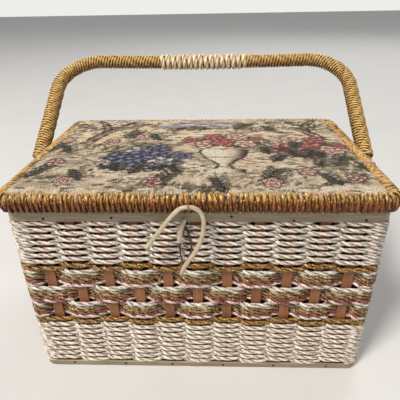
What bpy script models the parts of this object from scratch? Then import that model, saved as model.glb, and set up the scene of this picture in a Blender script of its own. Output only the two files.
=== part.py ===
"""Sewing basket: a woven body on wooden slats, a padded lid, a wound bail handle and a loop-and-peg closure."""

from math import atan2, cos, pi, radians, sin

import bmesh
import bpy
import numpy as np
from mathutils import Euler, Matrix, Vector

# Clearances between pieces
FIT_GAP = 0.0003
BORE_GAP = 0.0004
CUT_OVERRUN = 0.002

# Basket body, outside the wooden bands
BODY_WIDTH = 0.309
BODY_DEPTH = 0.2086
BODY_HEIGHT = 0.1757
BODY_CORNER_RADIUS = 0.010
SIDE_FLARE = 0.0037
FRONT_FLARE = 0.0026

# Wooden bands, inner hoop and base
BAND_THICKNESS = 0.0025
BAND_EDGE_ROUNDING = 0.0007
TOP_BAND_HEIGHT = 0.0102
BOTTOM_BAND_HEIGHT = 0.006
INNER_HOOP_THICKNESS = 0.0035
BASE_THICKNESS = 0.005

# Slats that the weavers pass round
SLAT_WIDTH = 0.0084
SLAT_THICKNESS = 0.0018
SLAT_FOOT = 0.001
SLAT_TOP_DROP = 0.0004
LONG_SIDE_SLATS = 11
SHORT_SIDE_SLATS = 6
LONG_SIDE_SPREAD_SHARE = 0.896
SHORT_SIDE_SPREAD_SHARE = 0.769

# Woven rows, from the bottom band up
CORD_THICKNESS = 0.0036
LOWER_WHITE_HEIGHT = 0.0493
LOWER_GOLD_HEIGHT = 0.0069
COLOUR_GROUP_HEIGHT = 0.0179
UPPER_GOLD_HEIGHT = 0.0074
WEAVER_TURN = 0.0016

# Lid
LID_SIDE_OVERHANG = 0.0046
LID_FRONT_OVERHANG = 0.0094
LID_THICKNESS = 0.017
LID_CORNER_RADIUS = 0.0165
LID_RIM_WIDTH = 0.013
LID_RIM_ROUNDING = 0.004
LID_LINING_THICKNESS = 0.0009
LID_BOARD_THICKNESS = 0.004
PAD_EDGE_DROP = 0.0022
PAD_CROWN = 0.0042
PAD_EDGE_ROLL = 0.016
PAD_COLUMNS = 16
PAD_ROWS = 12

# Lid hinge: two wire rings through the band and the rim, between slats of the back
HINGE_STANDOFF = 0.0011
HINGE_RING_RADIUS = 0.0042
HINGE_WIRE = 0.0016
HINGE_SLAT_STEPS = 7

# Bail handle
HANDLE_SIDE_CLEARANCE = 0.0008
HANDLE_SPLAY = 0.0035
HANDLE_REACH = 0.168
HANDLE_SAG = 0.0025
HANDLE_BEND_RADIUS = 0.047
HANDLE_LEAN = radians(58.77)
HANDLE_END_DIAMETER = 0.0125
HANDLE_CORE_DIAMETER = 0.009
HANDLE_WOUND_DIAMETER = 0.017
HANDLE_TAIL = 0.009
HANDLE_EYE_THICKNESS = 0.009
HANDLE_STEP = 0.002
WINDING_START = 0.0125
WRAP_LENGTH = 0.113
WRAP_SEAT_LENGTH = 0.117
WRAP_SEAT_DIAMETER = 0.0119
WRAP_CORD_DIAMETER = 0.0032
WRAP_TURNS = 16

# Handle pivots, in the top band and the hoop
PIVOT_DROP_SHARE = 0.5
PIVOT_PIN_DIAMETER = 0.005
PIVOT_COLLAR_DIAMETER = 0.009
PIVOT_HEAD_DIAMETER = 0.0115
PIVOT_HEAD_THICKNESS = 0.0028
PIVOT_CLENCH_DIAMETER = 0.009
PIVOT_CLENCH_THICKNESS = 0.0018

# Closure: a bent cord loop tied to the lid, and a peg on the body
LOOP_CORD_DIAMETER = 0.0037
LOOP_WIDTH = 0.0471
LOOP_DROP = 0.0624
LOOP_TOP_RISE = 0.0095
TIE_PLACE = -0.005
TIE_WIRE = 0.001
PEG_DIAMETER = 0.0049
PEG_LENGTH = 0.0215
PEG_DROP = 0.0045
PEG_SHIFT = -0.0135
PEG_BOW = 0.0056
STRING_DIAMETER = 0.0011
STRING_WIDTH = 0.0082
STRING_LENGTH = 0.0385
STRING_SHIFT = 0.0039
STRING_START_SHARE = 0.353

# Number of facets
CORNER_STEPS = 5
ROUND_STEPS = 20
LEG_STEPS = 3
BEND_STEPS = 8
WRAP_POINTS_PER_TURN = 24

# Shapes drawn as shares of the sizes they follow: (across, down) for the loop, (along, bow, size) for
# the peg and (across, down) for the string
LOOP_ROUTE_SHARES = (
    (-0.747, 0.593), (-0.505, 0.356), (-0.314, 0.160), (-0.106, 0.013), (0.0, 0.0), (0.093, 0.006),
    (0.172, 0.046), (0.229, 0.111), (0.253, 0.191), (0.251, 0.303), (0.223, 0.417), (0.174, 0.535),
    (0.098, 0.654), (-0.006, 0.777), (-0.098, 0.889), (-0.159, 1.0),
)
PEG_ROUTE_SHARES = (
    (0.0, 0.0, 0.52), (0.22, 0.42, 0.8), (0.5, 0.82, 1.0), (0.78, 1.0, 0.98), (1.0, 1.0, 0.72),
)
STRING_ROUTE_SHARES = (
    (0.0, 0.0), (0.42, 0.16), (0.56, 0.45), (0.44, 0.76), (-0.2, 1.0), (-0.44, 0.72), (-0.42, 0.3),
)

PATH_INSET = BAND_THICKNESS + FIT_GAP + SLAT_THICKNESS / 2
PATH_WIDTH = BODY_WIDTH - 2 * PATH_INSET
PATH_DEPTH = BODY_DEPTH - 2 * PATH_INSET
PATH_RADIUS = BODY_CORNER_RADIUS - PATH_INSET
LONG_SIDE_PITCH = (PATH_WIDTH - 2 * PATH_RADIUS) * LONG_SIDE_SPREAD_SHARE / (LONG_SIDE_SLATS - 1)
SHORT_SIDE_PITCH = (PATH_DEPTH - 2 * PATH_RADIUS) * SHORT_SIDE_SPREAD_SHARE / (SHORT_SIDE_SLATS - 1)
WEAVE_SWING = SLAT_THICKNESS / 2 + FIT_GAP + CORD_THICKNESS / 2
WEAVE_REACH = WEAVE_SWING + CORD_THICKNESS / 2
HOOP_OFFSET = SLAT_THICKNESS / 2 + FIT_GAP
TOP_WIDTH_RATIO = 1 + 2 * SIDE_FLARE / BODY_WIDTH
LID_WIDTH = BODY_WIDTH + 2 * SIDE_FLARE + 2 * LID_SIDE_OVERHANG
LID_DEPTH = BODY_DEPTH + 2 * FRONT_FLARE + 2 * LID_FRONT_OVERHANG
LID_BASE = BODY_HEIGHT + FIT_GAP
LID_TOP = LID_BASE + LID_THICKNESS
HINGE_HEIGHT = BODY_HEIGHT + FIT_GAP / 2
HINGE_Y = BODY_DEPTH / 2 + FRONT_FLARE + HINGE_STANDOFF
HINGE_X = HINGE_SLAT_STEPS / 2 * LONG_SIDE_PITCH * TOP_WIDTH_RATIO
HANDLE_SPAN = LID_WIDTH + HANDLE_WOUND_DIAMETER + 2 * HANDLE_SIDE_CLEARANCE
HANDLE_BEND_X = HANDLE_SPAN / 2 + HANDLE_SPLAY - HANDLE_BEND_RADIUS
HANDLE_PIVOT_HEIGHT = BODY_HEIGHT - TOP_BAND_HEIGHT * PIVOT_DROP_SHARE
TIE_RADIUS = LOOP_CORD_DIAMETER / 2 + BORE_GAP + TIE_WIRE / 2
LOOP_Y = -(LID_DEPTH / 2 + FIT_GAP + TIE_RADIUS + TIE_WIRE / 2)
LOOP_AXIS_HEIGHT = LID_BASE + LOOP_TOP_RISE
PEG_TOP = BODY_HEIGHT - PEG_DROP
STRING_TOP = PEG_TOP - PEG_LENGTH * STRING_START_SHARE
SIDE_NAMES = ("front", "right", "back", "left")


def clear_scene():
    for obj in list(bpy.data.objects):
        bpy.data.objects.remove(obj, do_unlink=True)


def make_collection(name):
    collection = bpy.data.collections.new(name)
    bpy.context.scene.collection.children.link(collection)
    return collection


def make_material(name, colour, roughness, metallic=0.0):
    material = bpy.data.materials.new(name)
    material.use_nodes = True
    shader = material.node_tree.nodes["Principled BSDF"]
    shader.inputs["Base Color"].default_value = (*colour, 1.0)
    shader.inputs["Roughness"].default_value = roughness
    shader.inputs["Metallic"].default_value = metallic
    return material


def add_object(name, data, material, parent=None):
    obj = bpy.data.objects.new(name, data)
    BASKET.objects.link(obj)
    data.materials.clear()
    data.materials.append(material)
    obj.parent = parent
    return obj


def add_cutter(name, data):
    obj = bpy.data.objects.new(name, data)
    CUTTERS.objects.link(obj)
    obj.hide_render = True
    obj.display_type = "WIRE"
    return obj


def add_empty(name, place, turn=(0.0, 0.0, 0.0), parent=None):
    empty = bpy.data.objects.new(name, None)
    BASKET.objects.link(empty)
    empty.location = place
    empty.rotation_euler = Euler(turn)
    empty.parent = parent
    return empty


def round_off(obj):
    obj.data.shade_smooth()
    obj.data.set_sharp_from_angle(angle=radians(35))


def thicken(obj, thickness):
    """Give an open wall its thickness, inward from where it stands."""
    modifier = obj.modifiers.new("thickness", "SOLIDIFY")
    modifier.thickness = thickness
    modifier.offset = -1.0
    modifier.use_even_offset = True


def bevel(obj, width, segments):
    modifier = obj.modifiers.new("rounded_edges", "BEVEL")
    modifier.width = width
    modifier.segments = segments
    modifier.limit_method = "ANGLE"
    modifier.angle_limit = radians(50)


def cut(obj, cutter):
    modifier = obj.modifiers.new("cut_" + cutter.name, "BOOLEAN")
    modifier.operation = "DIFFERENCE"
    modifier.object = cutter


def mesh_from_curve(curve, matrix=None):
    """A closed mesh of a curve's tube or filled outline, with its loose caps welded."""
    holder = bpy.data.objects.new("outline_holder", curve)
    bpy.context.scene.collection.objects.link(holder)
    depsgraph = bpy.context.evaluated_depsgraph_get()
    mesh = bpy.data.meshes.new_from_object(holder.evaluated_get(depsgraph))
    bpy.data.objects.remove(holder, do_unlink=True)
    bm = bmesh.new()
    bm.from_mesh(mesh)
    bmesh.ops.remove_doubles(bm, verts=bm.verts, dist=FIT_GAP / 30)
    if matrix is not None:
        bmesh.ops.transform(bm, matrix=matrix, verts=bm.verts)
    bmesh.ops.recalc_face_normals(bm, faces=bm.faces)
    bm.to_mesh(mesh)
    bm.free()
    return mesh


def extrude_outline(loops, low, high, fill="BOTH"):
    """A flat outline with holes, raised between two heights and filled, or left as an open wall."""
    curve = bpy.data.curves.new("outline", "CURVE")
    curve.dimensions = "2D"
    curve.fill_mode = fill
    curve.extrude = (high - low) / 2
    for loop in loops:
        spline = curve.splines.new("POLY")
        spline.points.add(len(loop) - 1)
        for point, (x, y) in zip(spline.points, loop):
            point.co = (x, y, 0.0, 1.0)
        spline.use_cyclic_u = True
    return mesh_from_curve(curve, Matrix.Translation((0.0, 0.0, (low + high) / 2)))


def tube_curve(points, diameter, sizes=None, closed=False, kind="POLY", sides_level=2):
    """A round bar along a line of points; sizes are shares of its diameter at each point."""
    curve = bpy.data.curves.new("tube", "CURVE")
    curve.dimensions = "3D"
    curve.bevel_depth = diameter / 2
    curve.bevel_resolution = sides_level
    curve.use_fill_caps = not closed
    curve.resolution_u = 4
    spline = curve.splines.new(kind)
    if kind == "BEZIER":
        spline.bezier_points.add(len(points) - 1)
        for knot, place in zip(spline.bezier_points, points):
            knot.co = place
            knot.handle_left_type = "AUTO"
            knot.handle_right_type = "AUTO"
        knots = spline.bezier_points
    else:
        spline.points.add(len(points) - 1)
        for knot, place in zip(spline.points, points):
            knot.co = (*place, 1.0)
        knots = spline.points
    if sizes is not None:
        for knot, size in zip(knots, sizes):
            knot.radius = size
    spline.use_cyclic_u = closed
    return curve


def rounded_rectangle(width, depth, radius):
    """The outline's points, anticlockwise; each corner is an arc."""
    points = []
    for corner in range(4):
        side_x = (1, -1, -1, 1)[corner]
        side_y = (1, 1, -1, -1)[corner]
        centre_x = side_x * (width / 2 - radius)
        centre_y = side_y * (depth / 2 - radius)
        for step in range(CORNER_STEPS + 1):
            angle = pi / 2 * (corner + step / CORNER_STEPS)
            points.append((centre_x + radius * cos(angle), centre_y + radius * sin(angle)))
    return points


def wall_outline(offset):
    """The slats' centre line round the body, moved outward by an offset, at the bottom of the body."""
    return rounded_rectangle(PATH_WIDTH + 2 * offset, PATH_DEPTH + 2 * offset, PATH_RADIUS + offset)


def side_point(side, along, outward):
    """A place on one side of the body: along it from its middle, and outward from the slats' centre line."""
    half = (PATH_DEPTH, PATH_WIDTH)[side % 2] / 2
    turned = Matrix.Rotation(side * pi / 2, 2) @ Vector((along, -(half + outward)))
    return tuple(turned)


def slat_places(side):
    """Where each slat stands along a side, from one end to the other."""
    count, pitch = ((LONG_SIDE_SLATS, LONG_SIDE_PITCH), (SHORT_SIDE_SLATS, SHORT_SIDE_PITCH))[side % 2]
    return [(index - (count - 1) / 2) * pitch for index in range(count)]


def corner_points(side, outward):
    """The arc between the end of one side and the start of the next."""
    half_along = (PATH_WIDTH, PATH_DEPTH)[side % 2] / 2
    points = []
    for step in range(CORNER_STEPS + 1):
        angle = pi / 2 * step / CORNER_STEPS
        along = half_along - PATH_RADIUS + (PATH_RADIUS + outward) * sin(angle)
        inward = PATH_RADIUS - (PATH_RADIUS + outward) * cos(angle)
        points.append(side_point(side, along, -inward))
    return points


def flare(mesh):
    """Lean the walls: the upright body is widened steadily from its bottom to its top."""
    for vertex in mesh.vertices:
        rise = vertex.co.z / BODY_HEIGHT
        vertex.co.x *= 1 + 2 * SIDE_FLARE / BODY_WIDTH * rise
        vertex.co.y *= 1 + 2 * FRONT_FLARE / BODY_DEPTH * rise
    return mesh


def half_width_at(height):
    """Half the body's width outside its bands, at a height."""
    return BODY_WIDTH / 2 + SIDE_FLARE * height / BODY_HEIGHT


def half_depth_at(height):
    return BODY_DEPTH / 2 + FRONT_FLARE * height / BODY_HEIGHT


def turned_along_x(name, profile, material, place, direction):
    """A turned piece on the X axis; its profile is (distance along the axis, radius), from its outer end in."""
    mesh = bpy.data.meshes.new(name)
    bm = bmesh.new()
    rings = [bm.verts.new((radius, 0.0, along)) for along, radius in profile]
    for first, second in zip(rings, rings[1:]):
        bm.edges.new((first, second))
    bm.to_mesh(mesh)
    bm.free()
    obj = add_object(name, mesh, material)
    obj.location = place
    obj.rotation_euler = Euler((0.0, direction * pi / 2, 0.0))
    screw = obj.modifiers.new("turned", "SCREW")
    screw.steps = ROUND_STEPS
    screw.render_steps = ROUND_STEPS
    screw.use_merge_vertices = True
    screw.merge_threshold = FIT_GAP / 30
    return obj


def make_base_panel():
    mesh = flare(extrude_outline([wall_outline(-HOOP_OFFSET)], 0.0, BASE_THICKNESS))
    return add_object("base_panel", mesh, MATERIALS["board"])


def make_band(name, low, high):
    """A bent wooden strip outside the slats."""
    wall = extrude_outline([wall_outline(HOOP_OFFSET + BAND_THICKNESS)], low, high, "NONE")
    obj = add_object(name, flare(wall), MATERIALS["painted_wood"])
    thicken(obj, BAND_THICKNESS)
    bevel(obj, BAND_EDGE_ROUNDING, 1)
    return obj


def make_inner_hoop():
    """The strip inside the slats, which the top band is nailed to."""
    low = BODY_HEIGHT - TOP_BAND_HEIGHT
    wall = extrude_outline([wall_outline(-HOOP_OFFSET)], low, BODY_HEIGHT, "NONE")
    obj = add_object("top_inner_hoop", flare(wall), MATERIALS["bare_wood"])
    thicken(obj, INNER_HOOP_THICKNESS)
    return obj


def make_slat(side, number, along):
    bm = bmesh.new()
    bmesh.ops.create_cube(bm, size=1.0)
    height = BODY_HEIGHT - SLAT_TOP_DROP - SLAT_FOOT
    x, y = side_point(side, along, 0.0)
    place = Matrix.Translation((x, y, SLAT_FOOT + height / 2))
    turn = Matrix.Rotation(side * pi / 2, 4, "Z")
    size = Matrix.Diagonal((SLAT_WIDTH, SLAT_THICKNESS, height, 1.0))
    bmesh.ops.transform(bm, matrix=place @ turn @ size, verts=bm.verts)
    name = f"slat_{SIDE_NAMES[side]}_{number:02d}"
    mesh = bpy.data.meshes.new(name)
    bm.to_mesh(mesh)
    bm.free()
    return add_object(name, flare(mesh), MATERIALS["slat_wood"])


def make_slats():
    for side in range(4):
        for index, along in enumerate(slat_places(side)):
            make_slat(side, index + 1, along)


def slot_outline(side, along):
    """The space that close rows of weaving leave for a slat."""
    half_width = SLAT_WIDTH / 2 + FIT_GAP
    half_thickness = SLAT_THICKNESS / 2 + FIT_GAP
    corners = ((-1, -1), (1, -1), (1, 1), (-1, 1))
    return [side_point(side, along + u * half_width, v * half_thickness) for u, v in corners]


def make_close_rows(name, low, high, material):
    """Rows woven singly, packed so close that only the slats' slots stay open."""
    loops = [wall_outline(WEAVE_REACH), wall_outline(-WEAVE_REACH)]
    for side in range(4):
        loops.extend(slot_outline(side, along) for along in slat_places(side))
    return add_object(name, flare(extrude_outline(loops, low, high)), material)


def woven_outline(first_sign, outward):
    """A line in front of one slat and behind the next, and wide round each corner."""
    points = []
    sign = first_sign
    hold = SLAT_WIDTH / 2 + WEAVER_TURN
    for side in range(4):
        for along in slat_places(side):
            points.append(side_point(side, along - hold, sign * WEAVE_SWING + outward))
            points.append(side_point(side, along + hold, sign * WEAVE_SWING + outward))
            sign = -sign
        points.extend(corner_points(side, WEAVE_SWING + outward))
    return points


def make_colour_group(name, low, high, first_sign, material):
    """Five cords woven as one wide strand, which leaves every other slat in view."""
    half = CORD_THICKNESS / 2
    loops = [woven_outline(first_sign, half), woven_outline(first_sign, -half)]
    return add_object(name, flare(extrude_outline(loops, low, high)), material)


def make_weaving():
    """Each layer of rows stands on the one below it."""
    layers = (
        ("weave_white_lower", LOWER_WHITE_HEIGHT, 0, "cream_cord"),
        ("weave_gold_lower", LOWER_GOLD_HEIGHT, 0, "gold_cord"),
        ("weave_colour_lower", COLOUR_GROUP_HEIGHT, -1, "rose_cord"),
        ("weave_colour_middle", COLOUR_GROUP_HEIGHT, 1, "sage_cord"),
        ("weave_colour_upper", COLOUR_GROUP_HEIGHT, -1, "rose_cord"),
        ("weave_gold_upper", UPPER_GOLD_HEIGHT, 0, "gold_cord"),
    )
    low = BOTTOM_BAND_HEIGHT + FIT_GAP
    for name, height, sign, material in layers:
        high = low + height - FIT_GAP
        if sign:
            make_colour_group(name, low, high, sign, MATERIALS[material])
        else:
            make_close_rows(name, low, high, MATERIALS[material])
        low = low + height
    high = BODY_HEIGHT - TOP_BAND_HEIGHT - FIT_GAP
    make_close_rows("weave_white_upper", low, high, MATERIALS["cream_cord"])


def cross_bore(name, length):
    """A round bore along the X axis, wide enough for the handle's pins."""
    bm = bmesh.new()
    radius = PIVOT_PIN_DIAMETER / 2 + BORE_GAP
    bmesh.ops.create_cone(bm, cap_ends=True, segments=ROUND_STEPS, radius1=radius, radius2=radius, depth=length)
    bmesh.ops.rotate(bm, verts=bm.verts, matrix=Matrix.Rotation(pi / 2, 3, "Y"))
    mesh = bpy.data.meshes.new(name)
    bm.to_mesh(mesh)
    bm.free()
    return add_cutter(name, mesh)


def ring_mesh(name, radius, wire_radius, steps, wire_steps):
    """A wire ring that stands across the X axis."""
    bpy.ops.mesh.primitive_torus_add(
        major_radius=radius, minor_radius=wire_radius, major_segments=steps, minor_segments=wire_steps,
    )
    holder = bpy.context.object
    mesh = holder.data
    mesh.name = name
    bpy.data.objects.remove(holder, do_unlink=True)
    mesh.transform(Matrix.Rotation(pi / 2, 4, "Y"))
    return mesh


def make_hinge_rings(band, rim):
    """The rings turn about the lid's axis in curved holes through the band and the rim."""
    for name, side in (("hinge_ring_left", -1), ("hinge_ring_right", 1)):
        place = (side * HINGE_X, HINGE_Y, HINGE_HEIGHT)
        mesh = ring_mesh(name, HINGE_RING_RADIUS, HINGE_WIRE / 2, ROUND_STEPS, 6)
        ring = add_object(name, mesh, MATERIALS["wire"])
        ring.location = place
        round_off(ring)
        hole = ring_mesh(name + "_hole", HINGE_RING_RADIUS, HINGE_WIRE / 2 + BORE_GAP, ROUND_STEPS, 8)
        cutter = add_cutter(name + "_hole", hole)
        cutter.location = place
        cut(band, cutter)
        cut(rim, cutter)


def make_lid_rim(hinge):
    outline = rounded_rectangle(LID_WIDTH, LID_DEPTH, LID_CORNER_RADIUS)
    wall = extrude_outline([outline], LID_BASE, LID_TOP, "NONE")
    wall.transform(Matrix.Translation(-hinge.location))
    obj = add_object("lid_rim", wall, MATERIALS["gold_cord"], hinge)
    thicken(obj, LID_RIM_WIDTH)
    bevel(obj, LID_RIM_ROUNDING, 3)
    round_off(obj)
    return obj


def lid_inner_outline():
    """The opening of the rim, less the gap that keeps the pieces in it free."""
    inset = LID_RIM_WIDTH + FIT_GAP
    return rounded_rectangle(LID_WIDTH - 2 * inset, LID_DEPTH - 2 * inset, LID_CORNER_RADIUS - inset)


def make_lid_layer(name, low, high, material, hinge):
    mesh = extrude_outline([lid_inner_outline()], low, high)
    mesh.transform(Matrix.Translation(-hinge.location))
    return add_object(name, mesh, material, hinge)


def crown(x, y, half_width, half_depth):
    """How high the padding stands above its edge: a quick rise and then a shallow dome."""
    from_edge = min(half_width - abs(x), half_depth - abs(y))
    roll = min(1.0, max(0.0, from_edge) / PAD_EDGE_ROLL)
    dome = (1 - (x / half_width) ** 2) * (1 - (y / half_depth) ** 2)
    return PAD_CROWN * (sin(roll * pi / 2) + dome) / 2


def make_lid_pad(low, hinge):
    """Tapestry over padding, set in the rim."""
    inset = LID_RIM_WIDTH + FIT_GAP
    half_width = LID_WIDTH / 2 - inset
    half_depth = LID_DEPTH / 2 - inset
    radius = LID_CORNER_RADIUS - inset
    edge = LID_TOP - PAD_EDGE_DROP
    bm = bmesh.new()
    bmesh.ops.create_grid(bm, x_segments=PAD_COLUMNS, y_segments=PAD_ROWS, size=1.0)
    for vertex in bm.verts:
        x = vertex.co.x * half_width
        y = vertex.co.y * half_depth
        over_x = abs(x) - (half_width - radius)
        over_y = abs(y) - (half_depth - radius)
        if over_x > 0 and over_y > 0:
            angle = atan2(over_y, over_x)
            x = (half_width - radius + radius * cos(angle)) * (1 if x > 0 else -1)
            y = (half_depth - radius + radius * sin(angle)) * (1 if y > 0 else -1)
        vertex.co = (x, y, edge + crown(x, y, half_width, half_depth))
    skirt = bmesh.ops.extrude_face_region(bm, geom=bm.faces[:])
    for vertex in [item for item in skirt["geom"] if isinstance(item, bmesh.types.BMVert)]:
        vertex.co.z = low
    bmesh.ops.transform(bm, matrix=Matrix.Translation(-hinge.location), verts=bm.verts)
    bmesh.ops.recalc_face_normals(bm, faces=bm.faces)
    mesh = bpy.data.meshes.new("lid_pad")
    bm.to_mesh(mesh)
    bm.free()
    pad = add_object("lid_pad", mesh, MATERIALS["tapestry"], hinge)
    round_off(pad)
    return pad


def make_lid(hinge):
    board_low = LID_BASE + LID_LINING_THICKNESS + FIT_GAP
    board_high = board_low + LID_BOARD_THICKNESS
    rim = make_lid_rim(hinge)
    make_lid_layer("lid_lining", LID_BASE, LID_BASE + LID_LINING_THICKNESS, MATERIALS["lining"], hinge)
    make_lid_layer("lid_board", board_low, board_high, MATERIALS["board"], hinge)
    make_lid_pad(board_high + FIT_GAP, hinge)
    return rim


def bar_height(x):
    """The carrying bar sags a little between its bends."""
    return HANDLE_REACH + HANDLE_SAG * min(1.0, abs(x) / HANDLE_BEND_X) ** 2


def bar_stations():
    """Places along the bar, with the two steps of the seat that the white cord is wound on."""
    seat = WRAP_SEAT_LENGTH / 2
    right = [(HANDLE_BEND_X + seat) / 2, seat + HANDLE_STEP, seat, seat / 2]
    return right + [0.0] + [-x for x in reversed(right)]


def handle_path(start):
    """The bail's centre line, seen upright, with the pivots at height zero; its legs splay a little."""
    bend_z = HANDLE_REACH + HANDLE_SAG - HANDLE_BEND_RADIUS
    right = []
    for step in range(LEG_STEPS):
        z = start + (bend_z - start) * step / LEG_STEPS
        right.append((HANDLE_SPAN / 2 + HANDLE_SPLAY * z / bend_z, 0.0, z))
    for step in range(BEND_STEPS + 1):
        angle = pi / 2 * step / BEND_STEPS
        x = HANDLE_BEND_X + HANDLE_BEND_RADIUS * cos(angle)
        right.append((x, 0.0, bend_z + HANDLE_BEND_RADIUS * sin(angle)))
    bar = [(x, 0.0, bar_height(x)) for x in bar_stations()]
    left = [(-x, y, z) for x, y, z in reversed(right)]
    return right + bar + left


def make_flat_cutters(swing):
    """Blocks that take the round rod down to a flat eye at each end."""
    cutters = []
    top = WINDING_START - HANDLE_STEP
    low = -HANDLE_TAIL - CUT_OVERRUN
    for end, end_name in ((-1, "left"), (1, "right")):
        for face, face_name in ((-1, "inner"), (1, "outer")):
            bm = bmesh.new()
            bmesh.ops.create_cube(bm, size=1.0)
            size = Matrix.Diagonal((HANDLE_END_DIAMETER, 2 * HANDLE_END_DIAMETER, top - low, 1.0))
            bmesh.ops.transform(bm, matrix=size, verts=bm.verts)
            mesh = bpy.data.meshes.new(f"eye_{end_name}_{face_name}")
            bm.to_mesh(mesh)
            bm.free()
            cutter = add_cutter(mesh.name, mesh)
            cutter.parent = swing
            reach = face * (HANDLE_EYE_THICKNESS + HANDLE_END_DIAMETER) / 2
            cutter.location = (end * HANDLE_SPAN / 2 + reach, 0.0, (top + low) / 2)
            cutters.append(cutter)
    return cutters


def make_handle_core(swing):
    """The bent rod: slimmer under its winding, flattened and drilled at each end to fit its pin."""
    half = HANDLE_SPAN / 2
    wound = handle_path(WINDING_START - FIT_GAP)
    end = [(half, 0.0, -HANDLE_TAIL), (half, 0.0, WINDING_START - HANDLE_STEP)]
    points = end + wound + [(-x, y, z) for x, y, z in reversed(end)]
    slim = HANDLE_CORE_DIAMETER / HANDLE_END_DIAMETER
    sizes = [1.0, 1.0] + [slim] * len(wound) + [1.0, 1.0]
    mesh = mesh_from_curve(tube_curve(points, HANDLE_END_DIAMETER, sizes))
    core = add_object("handle_core", mesh, MATERIALS["bare_wood"], swing)
    for cutter in make_flat_cutters(swing):
        cut(core, cutter)
    bore = cross_bore("eye_bore", HANDLE_SPAN + 2 * HANDLE_END_DIAMETER)
    bore.parent = swing
    cut(core, bore)
    round_off(core)
    return core


def make_handle_winding(swing):
    """The cord covering over the rod, thinner at the middle where the white cord lies over it."""
    points = handle_path(WINDING_START)
    seat = WRAP_SEAT_LENGTH / 2 + FIT_GAP
    seat_share = WRAP_SEAT_DIAMETER / HANDLE_WOUND_DIAMETER
    sizes = [seat_share if abs(x) < seat else 1.0 for x, y, z in points]
    mesh = mesh_from_curve(tube_curve(points, HANDLE_WOUND_DIAMETER, sizes, sides_level=3))
    winding = add_object("handle_winding", mesh, MATERIALS["gold_cord"], swing)
    hollow_line = handle_path(WINDING_START - CUT_OVERRUN)
    hollow = mesh_from_curve(tube_curve(hollow_line, HANDLE_CORE_DIAMETER + 2 * FIT_GAP, sides_level=3))
    cutter = add_cutter("winding_hollow", hollow)
    cutter.parent = swing
    cut(winding, cutter)
    round_off(winding)
    return winding


def make_centre_wrap(swing):
    """White cord wound round the middle of the bar in one unbroken helix."""
    radius = (WRAP_SEAT_DIAMETER + WRAP_CORD_DIAMETER) / 2 + FIT_GAP
    length = WRAP_LENGTH - WRAP_CORD_DIAMETER
    count = WRAP_TURNS * WRAP_POINTS_PER_TURN
    points = []
    for step in range(count + 1):
        angle = 2 * pi * step / WRAP_POINTS_PER_TURN
        x = length * (step / count - 0.5)
        points.append((x, radius * cos(angle), bar_height(x) + radius * sin(angle)))
    report_least_gap(points)
    mesh = mesh_from_curve(tube_curve(points, WRAP_CORD_DIAMETER, sides_level=1))
    wrap = add_object("handle_centre_wrap", mesh, MATERIALS["cream_cord"], swing)
    wrap.data.shade_smooth()
    return wrap


def report_least_gap(points):
    """Print the least space between one turn of the wrap and the next, face to face."""
    line = np.array(points)
    far = WRAP_POINTS_PER_TURN // 2
    least = min(
        np.linalg.norm(line[index + far:] - line[index], axis=1).min()
        for index in range(0, len(line) - far)
    )
    print(f"handle_centre_wrap: least gap to itself {1000 * (least - WRAP_CORD_DIAMETER):.2f} mm")


def make_pivots():
    """Each pin is one turned piece: clenched inside the hoop, a collar to the leg, and a head outside it."""
    leg_inner = HANDLE_SPAN / 2 - HANDLE_EYE_THICKNESS / 2 - BORE_GAP
    leg_outer = HANDLE_SPAN / 2 + HANDLE_EYE_THICKNESS / 2 + BORE_GAP
    wall_outer = half_width_at(HANDLE_PIVOT_HEIGHT + PIVOT_COLLAR_DIAMETER / 2) + BORE_GAP
    hoop_depth = BAND_THICKNESS + SLAT_THICKNESS + 2 * FIT_GAP + INNER_HOOP_THICKNESS
    wall_inner = half_width_at(HANDLE_PIVOT_HEIGHT - PIVOT_CLENCH_DIAMETER / 2) - hoop_depth - BORE_GAP
    pin = PIVOT_PIN_DIAMETER / 2
    head = PIVOT_HEAD_DIAMETER / 2
    profile = [
        (leg_outer + PIVOT_HEAD_THICKNESS, 0.0),
        (leg_outer + PIVOT_HEAD_THICKNESS, head * 0.6),
        (leg_outer + PIVOT_HEAD_THICKNESS * 0.5, head),
        (leg_outer, head),
        (leg_outer, pin),
        (leg_inner, pin),
        (leg_inner, PIVOT_COLLAR_DIAMETER / 2),
        (wall_outer, PIVOT_COLLAR_DIAMETER / 2),
        (wall_outer, pin),
        (wall_inner, pin),
        (wall_inner, PIVOT_CLENCH_DIAMETER / 2),
        (wall_inner - PIVOT_CLENCH_THICKNESS, PIVOT_CLENCH_DIAMETER / 2),
        (wall_inner - PIVOT_CLENCH_THICKNESS, 0.0),
    ]
    for name, direction in (("pivot_left", -1), ("pivot_right", 1)):
        place = (0.0, 0.0, HANDLE_PIVOT_HEIGHT)
        pivot = turned_along_x(name, profile, MATERIALS["dark_wood"], place, direction)
        round_off(pivot)


def make_closure_loop(axis):
    """A bent cord whose two ends hang down in front of the body."""
    points = [(LOOP_WIDTH * across, 0.0, -LOOP_DROP * down) for across, down in LOOP_ROUTE_SHARES]
    curve = tube_curve(points, LOOP_CORD_DIAMETER, kind="BEZIER")
    loop = add_object("closure_loop", mesh_from_curve(curve), MATERIALS["cream_vinyl"], axis)
    loop.data.shade_smooth()
    return loop


def make_closure_tie(hinge):
    """A wire ring that holds the loop to the rim."""
    ring = ring_mesh("closure_tie", TIE_RADIUS, TIE_WIRE / 2, ROUND_STEPS, 6)
    tie = add_object("closure_tie", ring, MATERIALS["wire"], hinge)
    tie.location = Vector((TIE_PLACE, LOOP_Y, LOOP_AXIS_HEIGHT)) - hinge.location
    round_off(tie)
    return tie


def weave_face(height):
    """How far forward the weaving's front reaches, at a height."""
    return half_depth_at(height) - PATH_INSET + WEAVE_REACH


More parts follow.
